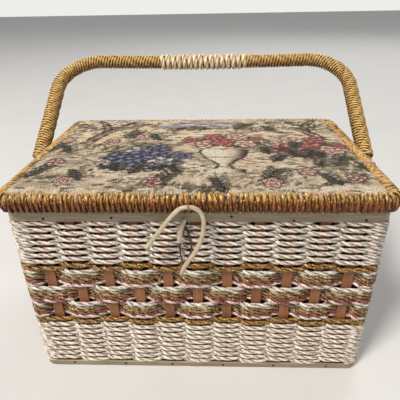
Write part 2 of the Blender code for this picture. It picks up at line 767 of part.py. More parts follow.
def make_toggle_peg():
    """A tapered, bowed peg that stands off the front wall by the thickness of its string."""
    points = []
    sizes = []
    for along, bow, size in PEG_ROUTE_SHARES:
        height = PEG_TOP - PEG_LENGTH * along
        stand = FIT_GAP + STRING_DIAMETER + FIT_GAP + PEG_DIAMETER / 2
        points.append((PEG_SHIFT + PEG_BOW * (1 - bow), -weave_face(height) - stand, height))
        sizes.append(size)
    curve = tube_curve(points, PEG_DIAMETER, sizes, kind="BEZIER")
    peg = add_object("toggle_peg", mesh_from_curve(curve), MATERIALS["cream_vinyl"])
    peg.data.shade_smooth()
    return peg


def make_toggle_string():
    """The thin string that holds the peg, lying on the weave behind it."""
    points = []
    middle = PEG_SHIFT + STRING_SHIFT
    for across, down in STRING_ROUTE_SHARES:
        height = STRING_TOP - STRING_LENGTH * down
        depth = weave_face(height) + FIT_GAP + STRING_DIAMETER / 2
        points.append((middle + STRING_WIDTH * across, -depth, height))
    curve = tube_curve(points, STRING_DIAMETER, closed=True, kind="BEZIER", sides_level=1)
    string = add_object("toggle_string", mesh_from_curve(curve), MATERIALS["dark_string"])
    string.data.shade_smooth()
    return string


clear_scene()
BASKET = make_collection("sewing_basket")
CUTTERS = make_collection("cutters")
MATERIALS = {
    "painted_wood": make_material("painted_wood", (0.40, 0.33, 0.26), 0.45),
    "bare_wood": make_material("bare_wood", (0.42, 0.24, 0.11), 0.6),
    "slat_wood": make_material("slat_wood", (0.36, 0.17, 0.075), 0.55),
    "board": make_material("board", (0.30, 0.18, 0.09), 0.8),
    "cream_cord": make_material("cream_cord", (0.78, 0.68, 0.56), 0.6),
    "gold_cord": make_material("gold_cord", (0.48, 0.24, 0.05), 0.45),
    "rose_cord": make_material("rose_cord", (0.33, 0.09, 0.09), 0.55),
    "sage_cord": make_material("sage_cord", (0.27, 0.25, 0.12), 0.55),
    "tapestry": make_material("tapestry", (0.45, 0.38, 0.28), 0.9),
    "lining": make_material("lining", (0.50, 0.40, 0.28), 0.9),
    "wire": make_material("wire", (0.45, 0.33, 0.15), 0.35, 1.0),
    "dark_wood": make_material("dark_wood", (0.16, 0.08, 0.035), 0.5),
    "cream_vinyl": make_material("cream_vinyl", (0.62, 0.52, 0.38), 0.4),
    "dark_string": make_material("dark_string", (0.09, 0.05, 0.03), 0.8),
}

lid_hinge = add_empty("lid_hinge_axis", (0.0, HINGE_Y, HINGE_HEIGHT))
handle_swing = add_empty("handle_axis", (0.0, 0.0, HANDLE_PIVOT_HEIGHT), (-HANDLE_LEAN, 0.0, 0.0))
closure_axis = add_empty(
    "closure_axis", Vector((TIE_PLACE, LOOP_Y, LOOP_AXIS_HEIGHT)) - lid_hinge.location, parent=lid_hinge
)

make_base_panel()
make_band("bottom_band", 0.0, BOTTOM_BAND_HEIGHT)
top_band = make_band("top_band", BODY_HEIGHT - TOP_BAND_HEIGHT, BODY_HEIGHT)
inner_hoop = make_inner_hoop()
make_slats()
make_weaving()
pivot_bore = cross_bore("pivot_bore", BODY_WIDTH + 2 * SIDE_FLARE + 2 * CUT_OVERRUN)
pivot_bore.location.z = HANDLE_PIVOT_HEIGHT
cut(top_band, pivot_bore)
cut(inner_hoop, pivot_bore)
lid_rim = make_lid(lid_hinge)
make_hinge_rings(top_band, lid_rim)
make_handle_core(handle_swing)
make_handle_winding(handle_swing)
make_centre_wrap(handle_swing)
make_pivots()
make_closure_loop(closure_axis)
make_closure_tie(lid_hinge)
make_toggle_peg()
make_toggle_string()
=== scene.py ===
"""Sewing basket: camera, studio, woven cords, wound rim and handle, tapestry lid and closure."""

from math import cos, pi, radians, sin

import bpy
import numpy as np
from mathutils import Matrix, Vector


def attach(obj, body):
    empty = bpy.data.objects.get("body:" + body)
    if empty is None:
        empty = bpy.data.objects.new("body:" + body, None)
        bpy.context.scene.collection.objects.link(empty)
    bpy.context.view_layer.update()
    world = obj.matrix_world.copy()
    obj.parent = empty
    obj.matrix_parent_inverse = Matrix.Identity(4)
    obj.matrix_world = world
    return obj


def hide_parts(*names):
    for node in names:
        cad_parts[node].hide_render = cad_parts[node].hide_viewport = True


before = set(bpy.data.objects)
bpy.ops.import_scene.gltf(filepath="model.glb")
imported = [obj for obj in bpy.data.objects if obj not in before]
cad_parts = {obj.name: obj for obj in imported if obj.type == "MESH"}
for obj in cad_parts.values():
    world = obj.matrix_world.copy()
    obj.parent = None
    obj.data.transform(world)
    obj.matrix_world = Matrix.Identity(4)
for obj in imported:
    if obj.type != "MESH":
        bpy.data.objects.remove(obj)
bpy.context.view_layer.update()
SCENE = bpy.context.scene
RNG = np.random.default_rng(71)

# Sizes of the solids that the cords lie on, in metres
MM = 0.001
BODY_WIDTH = 0.309
BODY_DEPTH = 0.2086
BODY_HEIGHT = 0.1757
SIDE_FLARE = 0.0037
FRONT_FLARE = 0.0026
PATH_INSET = 0.0037
PATH_RADIUS = 0.0063
WEAVE_REACH = 0.0048
LONG_SLATS = 11
SHORT_SLATS = 6
LONG_SPREAD = 0.896
SHORT_SPREAD = 0.769
LID_WIDTH = 0.3256
LID_DEPTH = 0.2326
LID_BASE = 0.176
LID_THICKNESS = 0.017
RIM_WIDTH = 0.013
RIM_CORNER = 0.0165
PAD_LEFT_INSET = 0.0088
PAD_RIGHT_INSET = 0.0114
PAD_FRONT_INSET = 0.0055
PAD_BACK_INSET = 0.0115
PIVOT_HEIGHT = 0.1706
HANDLE_HALF_SPAN = 0.1721
HANDLE_SPLAY = 0.0035
HANDLE_REACH = 0.168
HANDLE_SAG = 0.0025
HANDLE_BEND = 0.047
HANDLE_BEND_X = HANDLE_HALF_SPAN + HANDLE_SPLAY - HANDLE_BEND
HANDLE_LEAN = radians(58.77)
WINDING_START = 0.0125
WRAP_HALF = 0.0565

# How the rows lie on the slats
ROW_SWING = 0.003
ROW_STEP = 0.00125
ROW_TWIST = 0.0192
SLAT_HOLD = 0.005
CORNER_GAP = 0.03
CORNER_HOLD = 0.0055
CORNER_RUN = 0.010

FORWARD = np.array([0.0, -1.0, 0.0])
UPWARD = np.array([0.0, 0.0, 1.0])


def unit(v):
    return v / np.maximum(np.linalg.norm(v, axis=-1, keepdims=True), 1e-12)


def linear(srgb):
    """A colour given in 0 to 255 as it looks on a screen, for a shader socket."""
    values = [c / 255 for c in srgb]
    return tuple(c / 12.92 if c <= 0.04045 else ((c + 0.055) / 1.055) ** 2.4 for c in values)


# Mesh building


def lattice(columns, rows, wrap_columns, wrap_rows):
    """Quads between neighbouring points of a grid, whose points are numbered column by column."""
    i = np.arange(columns if wrap_columns else columns - 1)[:, None]
    j = np.arange(rows if wrap_rows else rows - 1)[None, :]
    across = (i + 1) % columns
    above = (j + 1) % rows
    corners = [i * rows + j, across * rows + j, across * rows + above, i * rows + above]
    return np.stack(corners, axis=2).reshape(-1, 4)


class Sheaf:
    """Gathers tubes and patches, then makes them one smooth mesh."""

    def __init__(self):
        self.verts = []
        self.faces = []
        self.count = 0

    def add(self, verts, faces, uvs=None, material=0):
        if uvs is None:
            uvs = np.zeros(faces.shape + (2,))
        self.verts.append(verts)
        self.faces.append((faces + self.count, uvs, material))
        self.count += len(verts)

    def tube(self, centre, e1, e2, radius, sides, closed, along, material=0, squash=None):
        """Rings round a line; e1 and e2 span each ring, and squash is (line, normal, share kept along it)."""
        n = len(centre)
        angle = np.arange(sides) * 2 * pi / sides
        ring = e1[:, None] * np.cos(angle)[None, :, None] + e2[:, None] * np.sin(angle)[None, :, None]
        points = centre[:, None] + ring * np.reshape(radius, (-1, 1, 1))
        if squash is not None:
            line, normal, kept = squash
            away = points - line[:, None]
            depth = np.sum(away * normal[:, None], axis=2, keepdims=True)
            points = points - (1 - kept) * depth * normal[:, None]
        steps = n if closed else n - 1
        following = np.append(along[1:], 2 * along[-1] - along[-2])
        u0, v0 = np.meshgrid(along[:steps], np.arange(sides) / sides, indexing="ij")
        u1 = np.broadcast_to(following[:steps, None], u0.shape)
        v1 = v0 + 1 / sides
        uvs = np.stack([u0, v0, u0, v1, u1, v1, u1, v0], axis=2).reshape(-1, 4, 2)
        quads = lattice(n, sides, closed, True)[:, [0, 3, 2, 1]]
        self.add(points.reshape(-1, 3), quads, uvs, material)
        if not closed:
            first = self.count - n * sides + np.arange(sides)[None, :]
            for cap in (first[:, ::-1], first + (n - 1) * sides):
                self.faces.append((cap, np.zeros((1, sides, 2)), material))

    def make(self, name, materials):
        verts = np.concatenate(self.verts)
        sizes = np.concatenate([np.full(len(f), f.shape[1]) for f, uv, m in self.faces])
        corners = np.concatenate([f.reshape(-1) for f, uv, m in self.faces])
        uvs = np.concatenate([uv.reshape(-1, 2) for f, uv, m in self.faces])
        slots = np.concatenate([np.full(len(f), m) for f, uv, m in self.faces])
        mesh = bpy.data.meshes.new(name)
        mesh.vertices.add(len(verts))
        mesh.vertices.foreach_set("co", verts.astype(np.float32).reshape(-1))
        mesh.loops.add(len(corners))
        mesh.loops.foreach_set("vertex_index", corners.astype(np.int32))
        mesh.polygons.add(len(sizes))
        starts = np.concatenate([[0], np.cumsum(sizes)[:-1]])
        mesh.polygons.foreach_set("loop_start", starts.astype(np.int32))
        mesh.update(calc_edges=True)
        layer = mesh.uv_layers.new(name="strand")
        layer.data.foreach_set("uv", uvs.astype(np.float32).reshape(-1))
        for material in materials:
            mesh.materials.append(material)
        mesh.polygons.foreach_set("material_index", slots.astype(np.int32))
        mesh.shade_smooth()
        mesh.validate()
        obj = bpy.data.objects.new(name, mesh)
        SCENE.collection.objects.link(obj)
        return obj


def along_line(line, outward, closed):
    """Outward directions square to a line, those square to both, the length to each point, and the whole."""
    outward = np.broadcast_to(outward, line.shape)
    ahead = np.roll(line, -1, axis=0) if closed else np.vstack([line[1:], line[-1:]])
    behind = np.roll(line, 1, axis=0) if closed else np.vstack([line[:1], line[:-1]])
    tangent = unit(ahead - behind)
    normal = unit(outward - np.sum(outward * tangent, axis=1, keepdims=True) * tangent)
    steps = np.linalg.norm(ahead - line, axis=1)
    along = np.concatenate([[0], np.cumsum(steps)[:-1]])
    return normal, np.cross(tangent, normal), along, steps.sum()


def strand(
    sheaf, line, outward, diameter, twist, sides=8, closed=False, phase=0.0, material=0, kept=1.0, flat=1.45
):
    """A cord of two plies twisted right-handed along a line, each pressed flat against the other."""
    normal, cross, along, total = along_line(line, outward, closed)
    turns = max(1, round(total / twist)) if closed else total / twist
    angle = (2 * pi * turns * along / total + phase)[:, None]
    width = np.broadcast_to(diameter, len(line))
    squash = None if kept == 1.0 else (line, normal, kept)
    plies = material if isinstance(material, tuple) else (material, material)
    for ply, tone in zip((0, pi), plies):
        e1 = normal * np.cos(angle + ply) + cross * np.sin(angle + ply)
        e2 = flat * (cross * np.cos(angle + ply) - normal * np.sin(angle + ply))
        centre = line + e1 * (0.245 * width)[:, None]
        sheaf.tube(centre, e1, e2, 0.255 * width, sides, closed, along + ply, tone, squash)


def plain_tube(sheaf, line, outward, radius, sides=8, material=0):
    """A round tube along an open line."""
    normal, cross, along, total = along_line(line, outward, False)
    sheaf.tube(line, normal, cross, np.broadcast_to(radius, len(line)), sides, False, along, material)


def evenly(dense, count=0, step=0.001):
    """The same line in count evenly spaced points, or in points a step apart, and the length up to each."""
    length = np.concatenate([[0], np.cumsum(np.linalg.norm(np.diff(dense, axis=0), axis=1))])
    wanted = np.linspace(0, length[-1], count or int(length[-1] / step) + 1)
    return np.stack([np.interp(wanted, length, column) for column in dense.T], axis=1), wanted


def smooth_line(points, count):
    """A smooth line through points, resampled evenly."""
    points = np.asarray(points, float)
    padded = np.vstack([2 * points[0] - points[1], points, 2 * points[-1] - points[-2]])
    t = np.linspace(0, 1, 24, endpoint=False)[:, None]
    spans = []
    for k in range(1, len(padded) - 2):
        p0, p1, p2, p3 = padded[k - 1:k + 3]
        square = 2 * p0 - 5 * p1 + 4 * p2 - p3
        cube = 3 * p1 - p0 - 3 * p2 + p3
        spans.append(0.5 * (2 * p1 + (p2 - p0) * t + square * t**2 + cube * t**3))
    return evenly(np.vstack(spans + [points[-1:]]), count)[0]


# Materials

BLACK = (0.0, 0.0, 0.0)
WHITE = (1.0, 1.0, 1.0)


class Shader:
    """A material with short calls for its nodes."""

    def __init__(self, name, roughness=0.6, **sockets):
        self.material = bpy.data.materials.new(name)
        self.material.use_nodes = True
        self.tree = self.material.node_tree
        self.bsdf = self.tree.nodes["Principled BSDF"]
        self.bsdf.inputs["Roughness"].default_value = roughness
        for key, value in sockets.items():
            self.bsdf.inputs[key.replace("_", " ")].default_value = value

    def node(self, kind, inputs=None, **props):
        made = self.tree.nodes.new("ShaderNode" + kind)
        for key, value in props.items():
            setattr(made, key, value)
        for key, value in (inputs or {}).items():
            socket = made.inputs[key]
            if isinstance(value, bpy.types.NodeSocket):
                self.tree.links.new(value, socket)
            else:
                socket.default_value = value
        return made

    def where(self, scale, kind="object"):
        """Coordinates: object space, or (metres along, share round) on a strand; each axis scaled."""
        if kind == "strand":
            source = self.node("UVMap", uv_map="strand").outputs["UV"]
        else:
            source = self.node("TexCoord").outputs["Object"]
        return self.node("VectorMath", {0: source, 1: scale}, operation="MULTIPLY").outputs["Vector"]

    def noise(self, scale, detail=3.0, roughness=0.5, kind="object"):
        inputs = {"Vector": self.where(scale, kind), "Scale": 1.0, "Detail": detail, "Roughness": roughness}
        return self.node("TexNoise", inputs).outputs["Fac"]

    def wave(self, scale, direction, distortion):
        inputs = {"Vector": self.where(scale), "Scale": 1.0, "Distortion": distortion}
        return self.node("TexWave", inputs, bands_direction=direction).outputs["Fac"]

    def part(self, vector, axis):
        return self.node("SeparateXYZ", {0: vector}).outputs[axis]

    def math(self, operation, a, b=0.0):
        return self.node("Math", {0: a, 1: b}, operation=operation).outputs[0]

    def ramp(self, factor, stops):
        made = self.node("ValToRGB", {"Fac": factor})
        elements = made.color_ramp.elements
        while len(elements) < len(stops):
            elements.new(0.5)
        for element, (place, colour) in zip(elements, stops):
            element.position = place
            element.color = (*colour, 1.0)
        return made.outputs["Color"]

    def mask(self, factor, low, high):
        """Black up to low, white from high."""
        return self.ramp(factor, ((low, BLACK), (high, WHITE)))

    def mix(self, factor, a, b, blend="MIX"):
        made = self.node("Mix", data_type="RGBA", blend_type=blend)
        for index, value in ((0, factor), (6, a), (7, b)):
            socket = made.inputs[index]
            if isinstance(value, bpy.types.NodeSocket):
                self.tree.links.new(value, socket)
            else:
                socket.default_value = (*value, 1.0) if isinstance(value, tuple) else value
        return made.outputs[2]

    def times(self, colour, shade):
        return self.mix(1.0, colour, shade, "MULTIPLY")

    def colour(self, socket):
        self.tree.links.new(socket, self.bsdf.inputs["Base Color"])

    def bump(self, height, strength=0.4, distance=0.0003):
        made = self.node("Bump", {"Height": height, "Strength": strength, "Distance": distance})
        self.tree.links.new(made.outputs["Normal"], self.bsdf.inputs["Normal"])

    def roughness(self, factor, low, high):
        made = self.node("MapRange", {"Value": factor, "To Min": low, "To Max": high})
        self.tree.links.new(made.outputs["Result"], self.bsdf.inputs["Roughness"])


def cord_material(
    name, dark, middle, light, roughness, patch=0.35, ply_shade=0.56, painted_glint=None,
    low_shade=None, other=None, under=None, gloss=0.5,
):
    """Twisted paper cord: streaks along each ply, painted shade in the groove between plies, and duller
    patches.

    glint is the colour of painted highlights on shiny fibres, and other that of some runs of cord;
    low_shade and under are the shares of colour that painted shade leaves low on the piece and on what faces
    down.
    """
    shader = Shader(name, roughness, Specular_IOR_Level=gloss)
    streaks = shader.noise((260.0, 9.0, 1.0), 4.0, 0.62, "strand")
    patches = shader.noise((55.0, 0.7, 1.0), 2.0, 0.5, "strand")
    colour = shader.ramp(streaks, ((0.3, linear(dark)), (0.46, linear(middle)), (0.61, linear(light))))
    colour = shader.times(colour, shader.ramp(patches, ((0.3, (1 - patch,) * 3), (0.62, WHITE))))
    # Painted shade: each ply darker on its inner side, where it presses on the other ply
    round_share = shader.part(shader.where((1.0, 1.0, 1.0), "strand"), "Y")
    from_inside = shader.math("ABSOLUTE", shader.math("SUBTRACT", round_share, 0.5))
    depth = ((0.1, (ply_shade, ply_shade * 0.88, ply_shade * 0.76)), (0.37, WHITE))
    colour = shader.times(colour, shader.ramp(from_inside, depth))
    if other is not None:
        runs = shader.noise((21.0, 0.2, 1.0), 1.0, 0.5, "strand")
        colour = shader.mix(shader.mask(runs, 0.62, 0.68), colour, linear(other))
    # Painted shade on faces that look down
    if under is not None:
        facing = shader.part(shader.node("TexCoord").outputs["Normal"], "Z")
        facing = shader.node("MapRange", {"Value": facing, "From Min": -0.55, "From Max": 0.85})
        colour = shader.times(colour, shader.ramp(facing.outputs["Result"], ((0.0, under), (1.0, WHITE))))
    # Painted highlights: pale glint-coloured spots mixed into the colour
    if painted_glint is not None:
        spots = shader.noise((520.0, 7.0, 1.0), 2.0, 0.6, "strand")
        colour = shader.mix(shader.mask(spots, 0.6, 0.66), colour, linear(painted_glint))
    # Painted shade: colour darker towards the bottom of the piece
    if low_shade is not None:
        height = shader.part(shader.node("TexCoord").outputs["Generated"], "Z")
        stops = ((0.3, low_shade), (0.6, tuple(1.6 * c for c in low_shade)), (0.88, WHITE))
        colour = shader.times(colour, shader.ramp(height, stops))
    shader.colour(colour)
    shader.bump(streaks, 0.55, 0.00025)
    shader.roughness(streaks, roughness - 0.12, roughness + 0.18)
    return shader.material


def wood_material(name, dark, light, grain_axis, roughness=0.5, coat=0.0):
    """Fine grain along one axis over broad darker and lighter parts."""
    shader = Shader(name, roughness, Coat_Weight=coat)
    scale = [900.0, 900.0, 900.0]
    scale[grain_axis] = 28.0
    grain = shader.noise(tuple(scale), 5.0, 0.65)
    broad = shader.noise((35.0,) * 3, 2.0, 0.5)
    colour = shader.ramp(grain, ((0.3, linear(dark)), (0.66, linear(light))))
    shader.colour(shader.mix(0.5, colour, shader.ramp(broad, ((0.3, linear(dark)), (0.7, linear(light))))))
    shader.bump(grain, 0.3, 0.0002)
    return shader.material


def painted_material(name):
    """Paint worn thin on bent wood, with the grain faintly raised."""
    shader = Shader(name, 0.42, Coat_Weight=0.12, Coat_Roughness=0.3)
    grain = shader.noise((40.0, 40.0, 700.0), 5.0, 0.6)
    spots = shader.noise((160.0, 160.0, 260.0), 4.0, 0.7)
    stops = ((0.25, (108, 92, 70)), (0.55, (140, 123, 98)), (0.8, (168, 152, 126)))
    colour = shader.ramp(grain, [(place, linear(tone)) for place, tone in stops])
    shader.colour(shader.mix(shader.mask(spots, 0.62, 0.72), colour, linear((134, 104, 72))))
    shader.bump(grain, 0.25, 0.0002)
    return shader.material


def fabric_material(name, dark, light, thread=1500.0):
    """Plain woven cloth."""
    shader = Shader(name, 0.9, Sheen_Weight=0.2)
    weft = shader.wave((0.0, thread, 0.0), "Y", 1.2)
    warp = shader.wave((thread, 0.0, 0.0), "X", 1.2)
    mottled = shader.noise((420.0,) * 3, 4.0, 0.6)
    shader.colour(shader.mix(mottled, linear(dark), linear(light)))
    shader.bump(shader.math("MULTIPLY", weft, warp), 0.5, 0.0002)
    return shader.material


def metal_material(name, colour, roughness):
    shader = Shader(name, roughness, Metallic=1.0)
    scratches = shader.noise((900.0,) * 3, 3.0, 0.6)
    dark = tuple(0.55 * c for c in linear(colour))
    shader.colour(shader.ramp(scratches, ((0.3, dark), (0.6, linear(colour)))))
    shader.roughness(scratches, roughness - 0.1, roughness + 0.2)
    return shader.material


def smooth_material(name, dark, light, roughness, scale=120.0):
    shader = Shader(name, roughness, Coat_Weight=0.15, Coat_Roughness=0.35)
    mottled = shader.noise((scale,) * 3, 4.0, 0.6)
    shader.colour(shader.ramp(mottled, ((0.3, linear(dark)), (0.7, linear(light)))))
    shader.bump(mottled, 0.15, 0.0002)
    return shader.material


CREAM = cord_material("cream_cord", (132, 110, 92), (198, 182, 166), (255, 250, 242), 0.4, 0.2)
LOW_CREAM = cord_material("cream_cord_low", (144, 120, 100), (208, 188, 168), (255, 252, 242), 0.4, 0.16)
WRAP_CREAM = cord_material("cream_cord_wrap", (164, 132, 92), (222, 200, 160), (255, 246, 218), 0.4, 0.15)
GOLD = cord_material("gold_cord", (58, 32, 6), (116, 74, 18), (186, 136, 50), 0.3, 0.35, 0.5, (254, 230, 166))
# Painted shade low on the rim and on its down-facing faces, with pale painted glints
RIM_GOLD = cord_material(
    "rim_gold_cord", (78, 44, 8), (154, 106, 38), (240, 196, 106), 0.28, 0.35, 0.28, (255, 232, 168),
    (0.36, 0.22, 0.12), (196, 142, 122), (0.62, 0.46, 0.3), 0.35,
)
# Painted shade on the handle's down-facing faces, with pale painted glints
HANDLE_GOLD = cord_material(
    "handle_gold_cord", (108, 60, 10), (214, 156, 62), (255, 230, 146), 0.28, 0.25, 0.42, (255, 242, 188),
    under=(0.3, 0.17, 0.07), gloss=0.4,
)
SAGE = cord_material(
    "sage_cord", (46, 38, 18), (92, 78, 42), (144, 128, 86), 0.34, 0.35, 0.6, (226, 214, 180)
)
PALE_SAGE = cord_material(
    "pale_sage_cord", (78, 68, 42), (138, 124, 88), (204, 192, 160), 0.34, 0.3, 0.6, (240, 234, 214)
)
ROSE = cord_material(
    "rose_cord", (66, 24, 24), (110, 48, 48), (168, 98, 94), 0.34, 0.35, 0.6, (240, 206, 186)
)
DARK_ROSE = cord_material(
    "dark_rose_cord", (50, 16, 10), (92, 36, 22), (140, 72, 46), 0.34, 0.4, 0.62, (234, 182, 130)
)
PINK_CREAM = cord_material("pink_cream_cord", (150, 108, 100), (208, 174, 160), (246, 226, 212), 0.42, 0.25)
# Painted shade: a near-black core under the rim and handle windings, seen only between the turns
GAP_SHADE = smooth_material("painted_gap_shade", (30, 16, 6), (58, 34, 14), 0.8)
SLAT_WOOD = wood_material("slat_wood", (98, 56, 28), (150, 98, 58), 2, 0.5)
BARE_WOOD = wood_material("bare_wood", (120, 84, 50), (170, 126, 84), 0, 0.55)
BOARD_WOOD = wood_material("board_wood", (116, 86, 56), (160, 124, 86), 0, 0.7)
PIN_WOOD = wood_material("pin_wood", (70, 42, 22), (112, 72, 42), 0, 0.45, 0.2)
PAINTED = painted_material("painted_wood")
LINING = fabric_material("lining_cloth", (176, 156, 128), (206, 188, 160))
WIRE = metal_material("brass_wire", (176, 142, 86), 0.35)
STRING = cord_material("dark_string", (48, 30, 20), (84, 58, 42), (128, 98, 74), 0.7, 0.2)
VINYL = smooth_material("cream_loop", (158, 140, 112), (204, 188, 160), 0.36, 60.0)
NAIL = metal_material("nail", (58, 48, 42), 0.5)


def paint_node(name, material):
    """Give a carried-over solid its finished material."""
    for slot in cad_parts[name].material_slots:
        slot.material = material


# Woven cords


def round_length(half_x, half_y, radius):
    """The length round a rectangle with round corners."""
    return 4 * (half_x + half_y) - (8 - 2 * pi) * radius


def round_rectangle(u, half_x, half_y, radius):
    """Places and outward directions on such a rectangle, u metres on from the start of its front side."""
    u = np.mod(u, round_length(half_x, half_y, radius))
    place = np.zeros((len(u), 2))
    outward = np.zeros((len(u), 2))
    start = 0.0
    for side, (half, half_out) in enumerate(((half_x, half_y), (half_y, half_x)) * 2):
        length = 2 * (half - radius)
        turned = side * pi / 2
        turn = np.array([[cos(turned), -sin(turned)], [sin(turned), cos(turned)]])
        on_side = (u >= start) & (u < start + length)
        along = u[on_side] - start - length / 2
        place[on_side] = np.stack([along, np.full_like(along, -half_out)], axis=1) @ turn.T
        outward[on_side] = turn @ np.array([0.0, -1.0])
        start += length
        on_arc = (u >= start) & ((u < start + radius * pi / 2) | (side == 3))
        angle = (u[on_arc] - start) / radius
        ray = np.stack([np.sin(angle), -np.cos(angle)], axis=1)
        place[on_arc] = (np.array([length / 2, -half_out + radius]) + radius * ray) @ turn.T
        outward[on_arc] = ray @ turn.T
        start += radius * pi / 2
    return place, outward


# The line through the middles of the slats' feet
WALL = (BODY_WIDTH / 2 - PATH_INSET, BODY_DEPTH / 2 - PATH_INSET, PATH_RADIUS)
ROUND_LENGTH = round_length(*WALL)


def slat_stations():
    """Where each slat stands, along that line."""
    half_x, half_y, radius = WALL
    stations = []
    start = 0.0
    for half, count, spread in ((half_x, LONG_SLATS, LONG_SPREAD), (half_y, SHORT_SLATS, SHORT_SPREAD)) * 2:
        length = 2 * (half - radius)
        pitch = length * spread / (count - 1)
        stations.extend(start + length / 2 + (k - (count - 1) / 2) * pitch for k in range(count))
        start += length + radius * pi / 2
    return np.array(stations)


STATIONS = slat_stations()


def ripple(u, size, waves):
    """A small, smooth, closed unevenness along a row."""
    total = np.zeros_like(u)
    for wave in waves:
        total += np.sin(2 * pi * wave * u / ROUND_LENGTH + RNG.uniform(0, 2 * pi)) * RNG.uniform(0.4, 1.0)
    return size * total / len(waves)


def row_line(height, first_sign):
    """One row's line, in front of one slat and behind the next, with its outward directions and crossings."""
    count = int(ROUND_LENGTH / ROW_STEP)
    u = np.arange(count) * ROUND_LENGTH / count
    padded = np.concatenate([[STATIONS[-1] - ROUND_LENGTH], STATIONS, [STATIONS[0] + ROUND_LENGTH]])
    signs = np.array([1 if k % 2 == 1 else -1 for k in range(len(padded))]) * first_sign
    index = np.clip(np.searchsorted(padded, u, side="right") - 1, 0, len(padded) - 2)
    gap = padded[index + 1] - padded[index]
    share = (u - padded[index]) / gap
    held = np.clip(SLAT_HOLD / gap, 0, 0.4)
    eased = np.clip((share - held) / (1 - 2 * held), 0, 1)
    offset = ROW_SWING * signs[index] * np.cos(pi * eased)
    near = np.minimum(share, 1 - share) * gap
    sign = np.where(share < 0.5, signs[index], signs[index + 1])
    turned = np.clip((near - CORNER_HOLD) / CORNER_RUN, 0, 1)
    turned = turned * turned * (3 - 2 * turned)
    offset = np.where(gap > CORNER_GAP, ROW_SWING * (sign + (1 - sign) * turned), offset)
    offset = offset + ripple(u, 0.00025, (7, 13, 22, 31))
    place, outward = round_rectangle(u, *WALL)
    z = height + ripple(u, 0.00028, (5, 11, 17, 29, 41))
    rise = z / BODY_HEIGHT
    xy = place + outward * offset[:, None]
    x = xy[:, 0] * (1 + 2 * SIDE_FLARE / BODY_WIDTH * rise)
    y = xy[:, 1] * (1 + 2 * FRONT_FLARE / BODY_DEPTH * rise)
    crossing = np.clip(1 - np.abs(offset) / ROW_SWING, 0, 1)
    return np.stack([x, y, z], axis=1), np.column_stack([outward, np.zeros(count)]), crossing


def woven_rows(name, rows, materials, node):
    """rows: (height, first sign, cord diameter, the material of its plies, or of each of the two)."""
    sheaf = Sheaf()
    for height, first_sign, diameter, plies in rows:
        line, outward, crossing = row_line(height, first_sign)
        twist = ROW_TWIST * RNG.uniform(0.94, 1.06)
        places = np.linspace(0, ROUND_LENGTH, len(line), endpoint=False)
        uneven = ripple(places, 0.05, (23, 37, 53))
        phase = RNG.uniform(0, 2 * pi) + ripple(places, 0.9, (19, 31, 43))
        fuller = 0.34 * np.clip(outward[:, 1], 0, 1)
        width = diameter * (1 + uneven + 0.24 * crossing + fuller)
        strand(sheaf, line, outward, width, twist, 8, True, phase, plies)
    obj = sheaf.make(name, materials)
    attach(obj, "basket")
    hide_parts(node)


def even_heights(low, high, count):
    """Row heights from the top down, evenly filling a layer."""
    pitch = (high - low) / count
    return [high - pitch * (k + 0.5) for k in range(count)]


def make_weaving():
    """The close white and gold rows, then the three coloured groups."""
    layers = (
        ("white_upper", 0.1236, 0.1652, 13, 1, 0.0038, CREAM, "cream_cord"),
        ("gold_upper", 0.1162, 0.1233, 2, -1, 0.0040, GOLD, "gold_cord"),
        ("gold_lower", 0.0556, 0.0622, 2, 1, 0.0040, GOLD, "gold_cord"),
        ("white_lower", 0.0063, 0.0553, 16, 1, 0.0039, LOW_CREAM, "cream_cord"),
    )
    for name, low, high, count, sign, diameter, material, slot in layers:
        heights = even_heights(low, high, count)
        rows = [(z, sign if k % 2 == 0 else -sign, diameter, 0) for k, z in enumerate(heights)]
        woven_rows("cords_" + name, rows, [material], "weave_" + name)
    palette = [CREAM, SAGE, PALE_SAGE, GOLD, ROSE, DARK_ROSE, PINK_CREAM]
    groups = (
        ("upper", 0.0983, 0.1159, -1, (6, 0), "rose_cord"),
        ("middle", 0.0804, 0.0980, 1, (6, 4), "sage_cord"),
        ("lower", 0.0625, 0.0801, -1, (6, 0), "rose_cord"),
    )
    for name, low, high, sign, lowest, slot in groups:
        pairs = ((0, 0), (1, 2), (3, 3), (4, 5), lowest)
        rows = [(z, sign, 0.0041, pair) for z, pair in zip(even_heights(low, high, 5), pairs)]
        woven_rows("cords_colour_" + name, rows, palette, "weave_colour_" + name)


# Wound lid rim


RIM_MIDDLE = (LID_WIDTH / 2 - RIM_WIDTH / 2, LID_DEPTH / 2 - RIM_WIDTH / 2, RIM_CORNER - RIM_WIDTH / 2)


def rim_section(share, half_out, half_up, corner):
    """Places and outward directions on the rim's section, by the share of its length from its outer foot."""
    foot = 2 * (half_out - corner) + corner * pi / 2
    return round_rectangle(foot + share * round_length(half_out, half_up, corner), half_out, half_up, corner)


